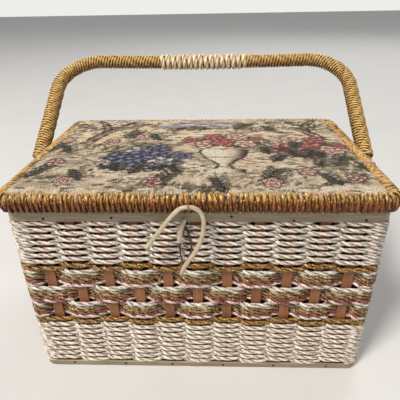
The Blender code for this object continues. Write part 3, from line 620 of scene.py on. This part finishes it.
def make_rim():
    """One cord wound round and round the rim, its turns close together, over a dark strip of painted shade
    that shows between the turns.
    """
    cord = 0.005
    kept = 0.84
    pitch = 0.0046
    step = 0.0011
    inset = cord / 2 * kept
    half_out = RIM_WIDTH / 2 - inset
    half_up = LID_THICKNESS / 2 - inset
    corner = 0.004
    total = round_length(*RIM_MIDDLE)
    turns = int(total / pitch)
    count = int(turns * round_length(half_out, half_up, corner) / step)
    turn = np.arange(count) / count * turns
    section, normal = rim_section(turn, half_out, half_up, corner)
    wander = 0.0005 * np.sin(2 * pi * turn * 0.37) * np.sin(2 * pi * turn * 0.021)
    place, outward = round_rectangle(turn * total / turns + wander, *RIM_MIDDLE)
    middle = LID_BASE + LID_THICKNESS / 2
    line = np.column_stack([place + outward * section[:, :1], middle + section[:, 1]])
    facing = np.column_stack([outward * normal[:, :1], normal[:, 1]])
    width = cord * (1 + 0.08 * np.sin(2 * pi * turn * 0.173 + 1.0) * np.cos(2 * pi * turn * 0.061))
    whole = np.linalg.norm(np.roll(line, -1, axis=0) - line, axis=1).sum()
    round_all = 2 * pi * turn / turns
    drift = 2.08 - 4 * pi * turn + 0.45 * np.sin(5 * round_all) + 0.35 * np.sin(31 * round_all)
    sheaf = Sheaf()
    strand(sheaf, line, facing, width, whole / turns, 8, True, drift, 0, kept, 1.6)

    rings = 240
    sides = 16
    place, outward = round_rectangle(np.linspace(0, total, rings, endpoint=False), *RIM_MIDDLE)
    section, normal = rim_section(np.arange(sides) / sides, half_out, half_up, 0.002)
    ring = place[:, None] + outward[:, None] * section[None, :, :1]
    height = np.broadcast_to(middle + section[None, :, 1:], (rings, sides, 1))
    verts = np.concatenate([ring, height], axis=2).reshape(-1, 3)
    sheaf.add(verts, lattice(rings, sides, True, True), material=1)
    obj = sheaf.make("rim_cords", [RIM_GOLD, GAP_SHADE])
    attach(obj, "lid")
    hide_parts("lid_rim")


# Handle


def bar_height(x):
    return HANDLE_REACH + HANDLE_SAG * np.minimum(1.0, np.abs(x) / HANDLE_BEND_X) ** 2


def handle_line():
    """The bail's middle line, upright with its pins at height zero: x, height and length to each point."""
    bend_z = HANDLE_REACH + HANDLE_SAG - HANDLE_BEND
    leg = np.linspace(WINDING_START, bend_z, 60, endpoint=False)
    angle = np.linspace(0, pi / 2, 60, endpoint=False)
    bar = np.linspace(HANDLE_BEND_X, 0, 80)
    right = np.vstack([
        np.stack([HANDLE_HALF_SPAN + HANDLE_SPLAY * leg / bend_z, leg], axis=1),
        np.stack([HANDLE_BEND_X + HANDLE_BEND * np.cos(angle), bend_z + HANDLE_BEND * np.sin(angle)], axis=1),
        np.stack([bar, bar_height(bar)], axis=1),
    ])
    left = right[-2::-1] * np.array([-1.0, 1.0])
    points, along = evenly(np.vstack([right, left]))
    return points[:, 0], points[:, 1], along


def lean(points, pivot=PIVOT_HEIGHT):
    """From the upright handle to where it leans in the photograph; the pivot's height is 0 for directions."""
    y = points[..., 1] * cos(HANDLE_LEAN) + points[..., 2] * sin(HANDLE_LEAN)
    z = -points[..., 1] * sin(HANDLE_LEAN) + points[..., 2] * cos(HANDLE_LEAN) + pivot
    return np.stack([points[..., 0], y, z], axis=-1)


def wound_helix(x, z, along, radius, pitch):
    """A helix round the handle's line in steps of about a millimetre; its radius may change along it."""
    usual_radius = 0.0072
    total = along[-1] - along[0]
    turns = total / pitch
    count = int(turns * 2 * pi * usual_radius / MM)
    place = np.linspace(along[0], along[-1], count)
    slopes = (np.gradient(x, along), np.gradient(z, along))
    cx, cz, dx, dz = (np.interp(place, along, values) for values in (x, z, *slopes))
    norm = np.sqrt(dx**2 + dz**2)
    side = np.stack([dz / norm, np.zeros(count), -dx / norm], axis=1)
    angle = 2 * pi * turns * (place - along[0]) / total
    facing = side * np.cos(angle)[:, None] - FORWARD * np.sin(angle)[:, None]
    line = np.stack([cx, np.zeros(count), cz], axis=1) + facing * radius(place)[:, None]
    return line, facing


def make_handle_winding():
    """One gold cord wound along the whole bail, closed in at its ends, over a dark rod of painted shade that
    shows between the turns.
    """
    x, z, along = handle_line()
    cord = 0.0038
    kept = 0.92
    twist = 0.0223
    pitch = 0.003
    outer = 0.0085
    inner = 0.0041
    rod = 0.0066

    def winding_radius(place):
        from_end = np.minimum(place, along[-1] - place)
        closing = np.clip(from_end / (1.6 * pitch), 0, 1)
        return inner + (outer - cord / 2 * kept - inner) * np.sqrt(closing * (2 - closing))

    line, facing = wound_helix(x, z, along, winding_radius, pitch)
    sheaf = Sheaf()
    strand(sheaf, lean(line), lean(facing, 0.0), cord, twist, 8, False, 0.0, 0, kept, 1.0)
    core = np.stack([x, np.zeros_like(x), z], axis=1)[2:-2:4]
    plain_tube(sheaf, lean(core), lean(-FORWARD, 0.0), rod, 12, 1)
    obj = sheaf.make("handle_cords", [HANDLE_GOLD, GAP_SHADE])
    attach(obj, "handle")
    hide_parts("handle_winding")


def make_handle_wrap():
    """The white cord let in round the bail's middle, its ends tucked in."""
    turns = 16
    thick = 0.005
    tucked = 0.0068
    risen = 0.0082
    count = turns * 60
    place = np.linspace(-0.5, 0.5, count)
    x = place * (2 * WRAP_HALF - thick)
    angle = 2 * pi * turns * (place + 0.5)
    tuck = np.clip((0.5 - np.abs(place)) / (0.5 / turns), 0, 1)
    radius = tucked + (risen - tucked) * tuck
    facing = np.stack([np.zeros(count), np.cos(angle), np.sin(angle)], axis=1)
    line = np.stack([x, np.zeros(count), bar_height(x)], axis=1) + facing * radius[:, None]
    sheaf = Sheaf()
    strand(sheaf, lean(line), lean(facing, 0.0), thick, 0.024, 10, False, 0.0, 0, 0.5, 1.5)
    obj = sheaf.make("handle_white_cord", [WRAP_CREAM])
    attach(obj, "handle")
    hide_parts("handle_centre_wrap")


# Lid fabric


def lattice_noise(x, y, seed):
    """Smooth random field with unit cells."""
    random = np.random.default_rng(seed).random((257, 257))
    xi, yi = np.floor(x).astype(int), np.floor(y).astype(int)
    fx, fy = ((part * part * (3 - 2 * part)) for part in (x - xi, y - yi))
    left, right = xi % 256, (xi + 1) % 256
    low, high = (random[left, k % 256] * (1 - fx) + random[right, k % 256] * fx for k in (yi, yi + 1))
    return low * (1 - fy) + high * fy


def layered_noise(x, y, seed, octaves=3):
    total = sum(lattice_noise(x * 2**k, y * 2**k, seed + k) / 2**k for k in range(octaves))
    return total / sum(1 / 2**k for k in range(octaves))


class Loom:
    """Lays threads of colour on the pad's cells; places are millimetres from its middle."""

    def __init__(self, x, y, ground):
        self.x = x
        self.y = y
        self.colour = np.empty(x.shape + (3,))
        self.colour[:] = ground
        self.random = np.random.default_rng(12)
        self.low = (x.min(), y.min())
        self.cell = ((x.max() - x.min()) / x.shape[0], (y.max() - y.min()) / x.shape[1])

    def window(self, cx, cy, reach):
        """The cells within reach of a place."""
        spans = []
        for axis, centre in enumerate((cx, cy)):
            first = int((centre - reach - 4 - self.low[axis]) / self.cell[axis])
            last = int((centre + reach + 4 - self.low[axis]) / self.cell[axis]) + 1
            spans.append(slice(max(0, first), max(0, min(self.x.shape[axis], last))))
        return tuple(spans)

    def lay(self, mask, tone, part=(slice(None), slice(None))):
        share = np.clip(mask, 0, 1)[..., None]
        self.colour[part] = self.colour[part] * (1 - share) + tone * share

    def stroke(self, cx, cy, length, angle, half, tone, strength=1.0):
        part = self.window(cx, cy, length / 2)
        dx, dy = self.x[part] - cx, self.y[part] - cy
        along = np.clip(dx * cos(angle) + dy * sin(angle), -length / 2, length / 2)
        away = np.hypot(dx - along * cos(angle), 0.6 * (dy - along * sin(angle)))
        self.lay(strength * np.clip(1.5 - away / half, 0, 1), tone, part)

    def hatch(self, cx, cy, rx, ry, count, length, slant, tones, half=1.1):
        """Short strokes scattered over an oval, denser in its middle."""
        for k in range(count):
            turn, away = self.random.uniform(0, 2 * pi), abs(self.random.normal(0, 0.55))
            px, py = cx + rx * away * cos(turn), cy + ry * away * sin(turn)
            size = length * self.random.uniform(0.5, 1.4)
            lean = slant + self.random.normal(0, 0.5)
            wide = half * self.random.uniform(0.7, 1.3)
            self.stroke(px, py, size, lean, wide, tones[k % len(tones)], 0.95)

    def sprig(self, cx, cy, size, lean, dark, pale):
        """A stem with pairs of pointed leaves."""
        leaf, vein = 0.22 * size, 0.26 * size
        for k in range(5):
            at = size * (k / 4 - 0.5)
            px, py = cx + at * cos(lean), cy + at * sin(lean)
            for turn in (lean - 0.9, lean + 0.9):
                self.stroke(px + leaf * cos(turn), py + leaf * sin(turn), 0.42 * size, turn, 1.2, dark)
                vx, vy = px + vein * cos(turn) + 1, py + vein * sin(turn) + 2
                self.stroke(vx, vy, 0.2 * size, turn, 0.8, pale, 0.9)
        self.stroke(cx, cy, size * 1.2, lean, 0.7, dark)

    def trunk(self, points, width, dark, tones):
        """A gnarled stem through points: dark at its sides, streaked between."""
        points = smooth_line([(x, y, 0.0) for x, y in points], 60)[:, :2]
        ahead = unit(np.gradient(points, axis=0))
        for k, ((px, py), (ax, ay)) in enumerate(zip(points, ahead)):
            wide = width * (1.15 - 0.7 * k / 59) + 0.6 * sin(k * 0.7)
            turn = float(np.arctan2(ay, ax))
            left, right = tones[k % len(tones)], tones[k // 3 % len(tones)]
            streaks = ((-1.0, dark, 1.2), (-0.35, left, 1.6), (0.35, right, 1.6), (1.0, dark, 1.0))
            for share, tone, half in streaks:
                self.stroke(px + share * wide * ay, py - share * wide * ax, 5, turn, half, tone)

    def mass(self, cx, cy, rx, ry, seed, tone, edge):
        """A soft, uneven patch with an outline."""
        dx, dy = (self.x - cx) / rx, (self.y - cy) / ry
        uneven = 0.6 * (layered_noise(self.x / 16 + seed, self.y / 16 + 3 * seed, seed) - 0.5)
        inside = 1 - np.hypot(dx, dy) + uneven
        self.lay(inside * 7, tone)
        self.lay(1.2 - np.abs(inside) * min(rx, ry) / 1.6, edge)

    def bloom(self, cx, cy, size, tone, pale, dark):
        """A full flower of five curled petals in rings, dark between them, pale at their lips, outlined."""
        part = self.window(cx, cy, size * 1.5)
        dx, dy = self.x[part] - cx, self.y[part] - cy
        r, angle = np.hypot(dx, dy), np.arctan2(dy, dx)
        rim = size * (1 + 0.16 * np.cos(5 * angle + cx))
        self.lay((rim - r) * 0.9, tone, part)
        curl = r / size * 7.5 + 1.5 * np.cos(5 * angle + r * 0.3 + cy)
        self.lay(np.where(r < rim, np.cos(curl) * 1.9 - 0.5, 0), pale, part)
        self.lay(np.where(r < rim, -np.cos(curl) * 2.0 - 0.9, 0), dark, part)
        self.lay(1.3 - np.abs(rim - r) / 1.5, dark, part)

    def blooms(self, places, tones, dark):
        """Flowers at (x, y, size, which of the pairs of a colour and its paler one)."""
        for cx, cy, size, pair in places:
            self.bloom(cx, cy, size, *tones[pair], dark)


def tapestry_colours(x, y):
    """A woven garden: drifting ground, old trees, a stone urn of roses, a blue bush, a pool and grass."""
    peach, sand, taupe, olive, ink, brown, slate, mist, rose, pink, cream = (np.array(linear(c)) for c in (
        (236, 210, 176), (206, 186, 158), (170, 150, 126), (132, 124, 90), (30, 30, 36), (88, 64, 50),
        (76, 80, 112), (160, 158, 178), (172, 78, 80), (222, 150, 140), (252, 236, 212),
    ))
    blue = ((slate, mist), (mist, cream))
    red = ((rose, pink), (pink, cream))
    leaves = (ink, olive, brown, taupe)
    loom = Loom(x, y, sand)
    random = loom.random

    # Ground with pale clearings and short stray threads
    wide = layered_noise(x / 60 + 9, y / 34 + 4, 3)
    loom.lay((wide - 0.5) * 8, peach)
    loom.lay((0.42 - wide) * 8, taupe)
    bands = layered_noise(x / 34 + 50, y / 13 + 14, 9)
    loom.lay(np.clip((bands - 0.6) * 9, 0, 0.6), olive)
    loom.lay(np.clip((0.38 - bands) * 9, 0, 0.6), cream)
    for clearing in (
        (-64, 84, 52, 22), (84, 26, 40, 20), (64, -50, 44, 20), (-104, 30, 36, 22), (-30, -72, 40, 14),
    ):
        loom.mass(*clearing, 11, peach, cream)
    strays = (taupe, peach, olive, cream, brown, cream, ink, peach)
    for k in range(2400):
        px, py = random.uniform(-158, 158), random.uniform(-112, 112)
        loom.stroke(px, py, random.uniform(3, 11), random.normal(0, 0.25), 0.7, strays[k % 8], 0.9)

    # Pool with reeds before it
    loom.mass(-6, 74, 46, 16, 17, mist, taupe)
    for k in range(50):
        px, py = -6 + random.normal(0, 24), 74 + random.normal(0, 7)
        loom.stroke(px, py, 15, 0.0, 1.0, (cream, slate, taupe)[k % 3], 0.8)
    loom.hatch(-6, 58, 52, 6, 70, 9, 1.2, (ink, olive, brown))

    # A tree at each side, with one low branch
    for cx, cy, side in ((-112, 70, 1), (122, 76, -1)):
        loom.hatch(cx, cy, 44, 26, 230, 8, 0.5, (ink, olive, brown, ink, taupe))
        loom.hatch(cx + 6, cy + 10, 38, 20, 110, 6, 0.8, (peach, cream, olive))
        stem = ((cx - 6, 4), (cx - 2 * side, 24), (cx + 6 * side, 48), (cx, 74), (cx - 12 * side, 96))
        loom.trunk(stem, 5, ink, (brown, taupe, sand, brown))
        branch = ((cx + 4 * side, 40), (cx + 17 * side, 58), (cx + 34 * side, 66), (cx + 46 * side, 84))
        loom.trunk(branch, 3, ink, (taupe, brown, sand))
        loom.hatch(cx + 30 * side, 84, 26, 14, 90, 7, 0.6, (ink, olive, cream, brown))
        loom.hatch(cx - 4, 0, 20, 7, 50, 9, 1.2, (ink, olive, brown))

    # Blue bush
    loom.hatch(-54, -24, 44, 26, 180, 10, 0.9, leaves)
    loom.blooms((
        (-74, -34, 13, 0), (-52, -44, 15, 0), (-32, -32, 12, 0), (-60, -18, 12, 1), (-42, -12, 11, 0),
        (-84, -52, 9, 1), (-24, -50, 10, 0), (-70, -60, 8, 0), (-52, -28, 13, 0), (-34, -48, 12, 1),
        (-64, -48, 12, 0), (-16, -34, 10, 0), (-40, -62, 9, 1),
    ), blue, ink)
    for k in range(5):
        loom.sprig(-90 + 18 * k, -66 + 5 * (k % 2), 17, random.uniform(0.3, 2.6), ink, olive)

    # Rose bush
    loom.hatch(98, -6, 46, 26, 180, 10, 0.7, leaves)
    loom.blooms((
        (82, -14, 14, 0), (106, -4, 15, 0), (128, -16, 12, 1), (94, 12, 11, 1), (118, 16, 10, 0),
        (104, -30, 11, 0), (72, 4, 9, 1), (142, 0, 9, 0),
    ), red, brown)
    for k in range(9):
        px, py = 104 + random.normal(0, 34), -14 + random.normal(0, 22)
        loom.sprig(px, py, 17, random.uniform(0.3, 2.6), ink, olive)

    # Stone urn, lit from its left, and the roses in it
    heights = (-74, -68, -66, -56, -50, -40, -24, -14, -10, -4)
    widths = (17, 17, 8, 5, 9, 17, 23, 21, 26, 26)
    width = np.interp(y, heights, widths, left=0, right=0)
    across = (x - 24) / np.maximum(width, 1)
    inside = width - np.abs(x - 24)
    urn = (y > -74) & (y < -4) & (inside > 0)
    loom.lay(np.where(urn, inside, 0), cream)
    loom.lay(np.where(urn, (across + 0.1) * 1.2, 0), sand)
    loom.lay(np.where(urn, (across - 0.45) * 2.4, 0), brown)
    loom.lay(np.where(urn, 1.4 - np.abs(np.mod(y + 2, 24) - 12) / 1.4, 0), taupe)
    loom.lay(np.where((y > -76) & (y < -2), 1.6 - np.abs(inside) / 1.3, 0), ink)
    loom.hatch(24, 10, 44, 22, 170, 9, 0.6, leaves)
    loom.blooms((
        (6, 2, 11, 1), (26, 8, 14, 0), (46, 2, 11, 1), (14, 24, 10, 0), (38, 26, 11, 1), (-10, 14, 8, 0),
        (58, 18, 8, 0),
    ), red, brown)

    # Tufts of grass and small flowers
    for cx, cy, rx in (
        (-122, -74, 40), (-4, -94, 50), (88, -84, 50), (140, -52, 24), (62, 60, 34), (-140, -6, 20),
        (-60, 30, 30),
    ):
        loom.hatch(cx, cy, rx, 17, int(rx * 3.0), 10, 0.9, (ink, olive, brown, olive, taupe), 0.9)
        loom.hatch(cx + 9, cy + 5, rx, 14, int(rx * 1.8), 9, 1.1, (cream, peach, sand), 0.9)
        loom.sprig(cx - 0.5 * rx, cy + 6, 22, 1.1, ink, olive)
        loom.sprig(cx + 0.5 * rx, cy - 4, 20, 1.9, ink, olive)
    for cx, cy in (
        (-132, -46), (-110, -90), (-36, -92), (62, -94), (94, -72), (132, -84), (-142, 22), (64, 56),
        (-62, 26), (-92, 12),
    ):
        loom.bloom(cx, cy, 8, (rose, pink)[cx // 2 % 2], cream, brown)
    return loom.colour


def tapestry_material():
    shader = Shader("tapestry", 0.92, Sheen_Weight=0.05, Sheen_Roughness=0.5, Specular_IOR_Level=0.15)
    painted = shader.node("Attribute", attribute_name="thread_colour").outputs["Color"]
    fine = shader.noise((900.0, 1600.0, 300.0), 4.0, 0.7)
    shader.colour(shader.times(painted, shader.ramp(fine, ((0.28, (0.5, 0.48, 0.45)), (0.56, (1.08,) * 3)))))
    ribs = shader.wave((0.0, 3300.0, 0.0), "Y", 2.0)
    knots = shader.noise((1100.0, 1100.0, 200.0), 3.0, 0.6)
    shader.bump(shader.math("ADD", ribs, knots), 0.7, 0.0003)
    return shader.material


def make_pad():
    """Tapestry stretched over padding and drawn down over the rim, with a quick roll at its edges."""
    half_x = (LID_WIDTH - PAD_LEFT_INSET - PAD_RIGHT_INSET) / 2
    middle_x = (PAD_LEFT_INSET - PAD_RIGHT_INSET) / 2
    half_y = (LID_DEPTH - PAD_FRONT_INSET - PAD_BACK_INSET) / 2
    middle_y = (PAD_FRONT_INSET - PAD_BACK_INSET) / 2
    columns, rows = 384, 260
    radius = 0.0063
    roll_width = 0.020
    puff = 0.0034
    gx = np.linspace(-1, 1, columns + 1)
    gy = np.linspace(-1, 1, rows + 1)
    sx, sy = np.meshgrid(gx, gy, indexing="ij")
    x = sx * half_x
    y = sy * half_y
    over_x = np.abs(x) - (half_x - radius)
    over_y = np.abs(y) - (half_y - radius)
    corner = (over_x > 0) & (over_y > 0)
    reach = np.maximum(over_x, over_y)
    angle = np.arctan2(over_y, over_x)
    x = np.where(corner, np.sign(x) * (half_x - radius + reach * np.cos(angle)), x)
    y = np.where(corner, np.sign(y) * (half_y - radius + reach * np.sin(angle)), y)
    from_side = half_x * (1 - np.abs(sx))
    from_edge = np.minimum(from_side, half_y * (1 - np.abs(sy)))
    roll = np.clip(from_edge / roll_width, 0, 1)
    dome = (1 - sx**2) * (1 - sy**2)
    z = LID_BASE + LID_THICKNESS + 0.0001 + puff * (np.sin(roll * pi / 2) + dome) / 2
    z -= 0.0016 * np.clip(1 - from_edge / 0.0016, 0, 1) ** 2
    z -= np.where(sx < 0, 0.0007, 0.0019) * np.clip(1 - from_side / 0.016, 0, 1) ** 2
    z -= 0.0010 * np.clip(1 - half_y * (1 + sy) / 0.012, 0, 1) ** 2
    z += 0.0005 * (layered_noise(x * 30 + 40, y * 38 + 12, 44) - 0.5) * roll
    z += 0.00022 * (np.random.default_rng(5).random(z.shape) - 0.5)
    verts = np.stack([x + middle_x, y + middle_y, z], axis=2).reshape(-1, 3)
    sheaf = Sheaf()
    sheaf.add(verts, lattice(columns + 1, rows + 1, False, False))
    obj = sheaf.make("tapestry_pad", [tapestry_material()])
    cx = ((gx[:-1] + gx[1:]) / 2 * half_x + middle_x) * 1000
    cy = ((gy[:-1] + gy[1:]) / 2 * half_y + middle_y) * 1000
    mx, my = np.meshgrid(cx, cy, indexing="ij")
    shift = np.random.default_rng(6).normal(0, 0.8, mx.shape)
    colours = tapestry_colours(mx + shift, my + 0.5 * np.roll(shift, 7, axis=0))
    colours = colours * np.random.default_rng(7).uniform(0.64, 1.2, mx.shape)[..., None]
    full = np.concatenate([np.clip(colours, 0, 1), np.ones(mx.shape + (1,))], axis=2).reshape(-1, 4)
    attribute = obj.data.color_attributes.new("thread_colour", "FLOAT_COLOR", "CORNER")
    attribute.data.foreach_set("color", np.repeat(full, 4, axis=0).astype(np.float32).reshape(-1))
    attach(obj, "lid")
    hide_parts("lid_pad")


# Closure, nails and other small pieces


LOOP_POINTS = (
    (-40.4, 148.7), (-35.4, 154.9), (-29.0, 163.5), (-23.0, 171.6), (-20.0, 175.7), (-14.7, 181.6),
    (-10.2, 184.9), (-5.0, 185.6), (-0.8, 185.2), (2.9, 182.8), (5.6, 178.8), (6.7, 173.8), (6.6, 166.8),
    (5.3, 159.7), (3.0, 152.3), (-0.6, 144.9), (-5.5, 137.2), (-9.8, 130.2), (-12.7, 123.3),
)
LOOP_Y = -0.11985


def front_reach(z):
    """How far the bands' front and back stand from the middle at a height in millimetres."""
    return BODY_DEPTH / 2 + FRONT_FLARE * z * MM / BODY_HEIGHT


def side_reach(z):
    return BODY_WIDTH / 2 + SIDE_FLARE * z * MM / BODY_HEIGHT


def make_closure():
    """The bent loop of smooth cord, a little uneven and drawn in at its cut ends."""
    line = smooth_line([(x * MM, LOOP_Y, z * MM) for x, z in LOOP_POINTS], 200)
    share = np.linspace(0, 1, len(line))
    radius = 0.00185 * (1 + 0.02 * np.sin(share * 41) + 0.015 * np.sin(share * 97))
    radius *= 1 - 0.18 * (np.clip(1 - share / 0.012, 0, 1) + np.clip(1 - (1 - share) / 0.012, 0, 1))
    sheaf = Sheaf()
    plain_tube(sheaf, line, FORWARD, radius, 20)
    obj = sheaf.make("cream_loop", [VINYL])
    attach(obj, "closure")
    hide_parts("closure_loop")


def make_string():
    """The peg's string, which lies on the woven front."""
    proud = 0.0011
    points = (
        (-9.4, 164.0), (-7.4, 160.4), (-6.0, 154.0), (-4.6, 146.3), (-5.2, 136.5), (-10.9, 125.6),
        (-13.4, 134.5), (-13.6, 146.0), (-12.6, 151.5), (-10.6, 156.0), (-8.6, 163.0),
    )
    wall = [-(front_reach(z) - PATH_INSET + WEAVE_REACH) for x, z in points]
    line = smooth_line([(x * MM, y - proud, z * MM) for (x, z), y in zip(points, wall)], 120)
    sheaf = Sheaf()
    strand(sheaf, line, FORWARD, 0.0018, 0.005, 6)
    obj = sheaf.make("peg_string", [STRING])
    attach(obj, "basket")
    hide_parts("toggle_string")


def make_nails():
    """Small domed heads along both bands."""
    front = (
        (-125.7, 168.3), (-69.2, 169.3), (28.8, 170.4), (79.1, 166.8), (136.5, 167.4),
        (-124.9, 3.6), (-73.2, 3.4), (-26.8, 3.0), (23.3, 2.8), (72.7, 2.8), (124.1, 2.6),
    )
    places = [(x, z, -1) for x, z in front]
    places += [(x, z, 1) for z in (169.0, 3.0) for x in (-128, -77, -26, 26, 77, 128)]
    rises = (-0.0006, 0.0, 0.0003, 0.0005)
    lines = [[(x * MM, side * (front_reach(z) + rise), z * MM) for rise in rises] for x, z, side in places]
    lines += [
        [(side * (side_reach(z) + rise), y * MM, z * MM) for rise in rises]
        for y in (-82, -28, 30, 84) for z in (169.0, 3.0) for side in (-1, 1)
    ]
    sheaf = Sheaf()
    for line in lines:
        plain_tube(sheaf, np.array(line), UPWARD, np.array([0.0012, 0.0012, 0.001, 0.0005]), 10)
    obj = sheaf.make("band_nails", [NAIL])
    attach(obj, "basket")


def make_loose_fibres():
    """Tufts of loose fibres at the pad's front edge: (middle, spread, how many)."""
    tufts = (
        (-36.0, 3.0, 9), (-26.0, 3.5, 10), (-14.5, 5.5, 22), (-127.0, 2.5, 6), (-98.0, 9.0, 7),
        (64.0, 14.0, 7),
    )
    random = np.random.default_rng(31)
    sheaf = Sheaf()
    front = -LID_DEPTH / 2
    top = LID_BASE + LID_THICKNESS
    for centre, spread, count in tufts:
        for k in range(count):
            x = (centre + random.normal(0, spread)) * MM
            side = random.normal(0, 0.0022)
            rise = random.uniform(0.0006, 0.0016)
            start = (x, front + random.uniform(0.0085, 0.0125), top + 0.0012)
            middle = (x + side * 0.4, front + 0.0068, top + rise + 0.0004)
            end = (x + side, front + random.uniform(0.0026, 0.0046), top + random.uniform(-0.0002, 0.0006))
            line = smooth_line([start, middle, end], 10)
            plain_tube(sheaf, line, UPWARD, np.linspace(0.00034, 0.0002, 10), 5, k % 3 // 2)
    obj = sheaf.make("pad_loose_fibres", [LOW_CREAM, WRAP_CREAM])
    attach(obj, "lid")


def make_stitching():
    """A stitched twine that shows below the rim at the right of the front."""
    x = np.linspace(0.034, 0.134, 260)
    wave = x / 0.0034 * 2 * pi
    y = -(BODY_DEPTH / 2 + FRONT_FLARE) - 0.0013 + 0.0003 * np.cos(wave)
    z = LID_BASE - 0.0007 + 0.0007 * np.sin(wave + np.sin(x * 700))
    sheaf = Sheaf()
    strand(sheaf, np.stack([x, y, z], axis=1), FORWARD, 0.0011, 0.003, 6)
    obj = sheaf.make("rim_stitching", [CREAM])
    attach(obj, "lid")


def paint_solids():
    finishes = {
        "base_panel": BOARD_WOOD, "bottom_band": PAINTED, "top_band": PAINTED, "top_inner_hoop": BARE_WOOD,
        "pivot_left": PIN_WOOD, "pivot_right": PIN_WOOD, "handle_core": BARE_WOOD, "lid_board": BOARD_WOOD,
        "lid_lining": LINING, "closure_tie": WIRE, "hinge_ring_left": WIRE, "hinge_ring_right": WIRE,
        "toggle_peg": VINYL,
    }
    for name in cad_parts:
        if name.startswith("slat_"):
            paint_node(name, SLAT_WOOD)
        elif name in finishes:
            paint_node(name, finishes[name])


# Camera and studio


def make_camera():
    yaw, pitch, roll = radians(-2.309), radians(-25.927), radians(-1.025)
    forward = Vector((sin(yaw) * cos(pitch), cos(yaw) * cos(pitch), sin(pitch)))
    flat_right = Vector((cos(yaw), -sin(yaw), 0.0))
    flat_up = flat_right.cross(forward)
    right = flat_right * cos(roll) + flat_up * sin(roll)
    up = -flat_right * sin(roll) + flat_up * cos(roll)
    data = bpy.data.cameras.new("camera")
    data.sensor_width = 36.0
    data.lens = 36.942
    data.clip_start = 0.01
    camera = bpy.data.objects.new("camera", data)
    SCENE.collection.objects.link(camera)
    place = Vector((0.015429, -0.398937, 0.32767))
    camera.matrix_world = Matrix.Translation(place) @ Matrix((right, up, -forward)).transposed().to_4x4()
    SCENE.camera = camera


def area_light(name, place, size, energy, colour):
    """A square light aimed at the basket."""
    data = bpy.data.lights.new(name, "AREA")
    data.shape = "SQUARE"
    data.size = size
    data.energy = energy
    data.color = colour
    light = bpy.data.objects.new(name, data)
    SCENE.collection.objects.link(light)
    light.location = place
    direction = Vector((0.0, 0.0, 0.1)) - Vector(place)
    light.rotation_euler = direction.to_track_quat("-Z", "Y").to_euler()


def make_studio():
    SCENE.view_settings.view_transform = "Standard"
    world = bpy.data.worlds.new("studio")
    SCENE.world = world
    world.use_nodes = True
    tree = world.node_tree
    lighting = tree.nodes["Background"]
    seen = tree.nodes.new("ShaderNodeBackground")
    for node, colour, strength in ((lighting, (0.95, 0.97, 1.0), 0.3), (seen, (0.86, 0.85, 0.83), 1.0)):
        node.inputs["Color"].default_value = (*colour, 1.0)
        node.inputs["Strength"].default_value = strength
    path = tree.nodes.new("ShaderNodeLightPath")
    either = tree.nodes.new("ShaderNodeMath")
    either.operation = "MAXIMUM"
    tree.links.new(path.outputs["Is Camera Ray"], either.inputs[0])
    tree.links.new(path.outputs["Is Glossy Ray"], either.inputs[1])
    mix = tree.nodes.new("ShaderNodeMixShader")
    tree.links.new(either.outputs[0], mix.inputs["Fac"])
    tree.links.new(lighting.outputs[0], mix.inputs[1])
    tree.links.new(seen.outputs[0], mix.inputs[2])
    tree.links.new(mix.outputs[0], tree.nodes["World Output"].inputs["Surface"])
    area_light("key", (-1.4, -1.7, 3.0), 0.8, 132.0, (1.0, 0.95, 0.88))
    area_light("fill", (0.4, -3.4, 1.7), 3.0, 18.0, (0.94, 0.97, 1.0))
    area_light("back", (1.2, 2.6, 2.6), 2.0, 34.0, (1.0, 0.98, 0.95))
    sheaf = Sheaf()
    size = 12.0
    verts = np.array([(-size, -size, 0.0), (size, -size, 0.0), (size, size, 0.0), (-size, size, 0.0)])
    sheaf.add(verts, np.array([[0, 1, 2, 3]]))
    shader = Shader("pale_floor", 0.75)
    stops = ((0.3, (0.66, 0.655, 0.64)), (0.7, (0.69, 0.685, 0.67)))
    shader.colour(shader.ramp(shader.noise((9.0,) * 3), stops))
    sheaf.make("floor", [shader.material])


make_camera()
make_studio()
make_weaving()
make_rim()
make_handle_winding()
make_handle_wrap()
make_pad()
make_closure()
make_string()
make_nails()
make_loose_fibres()
make_stitching()
paint_solids()
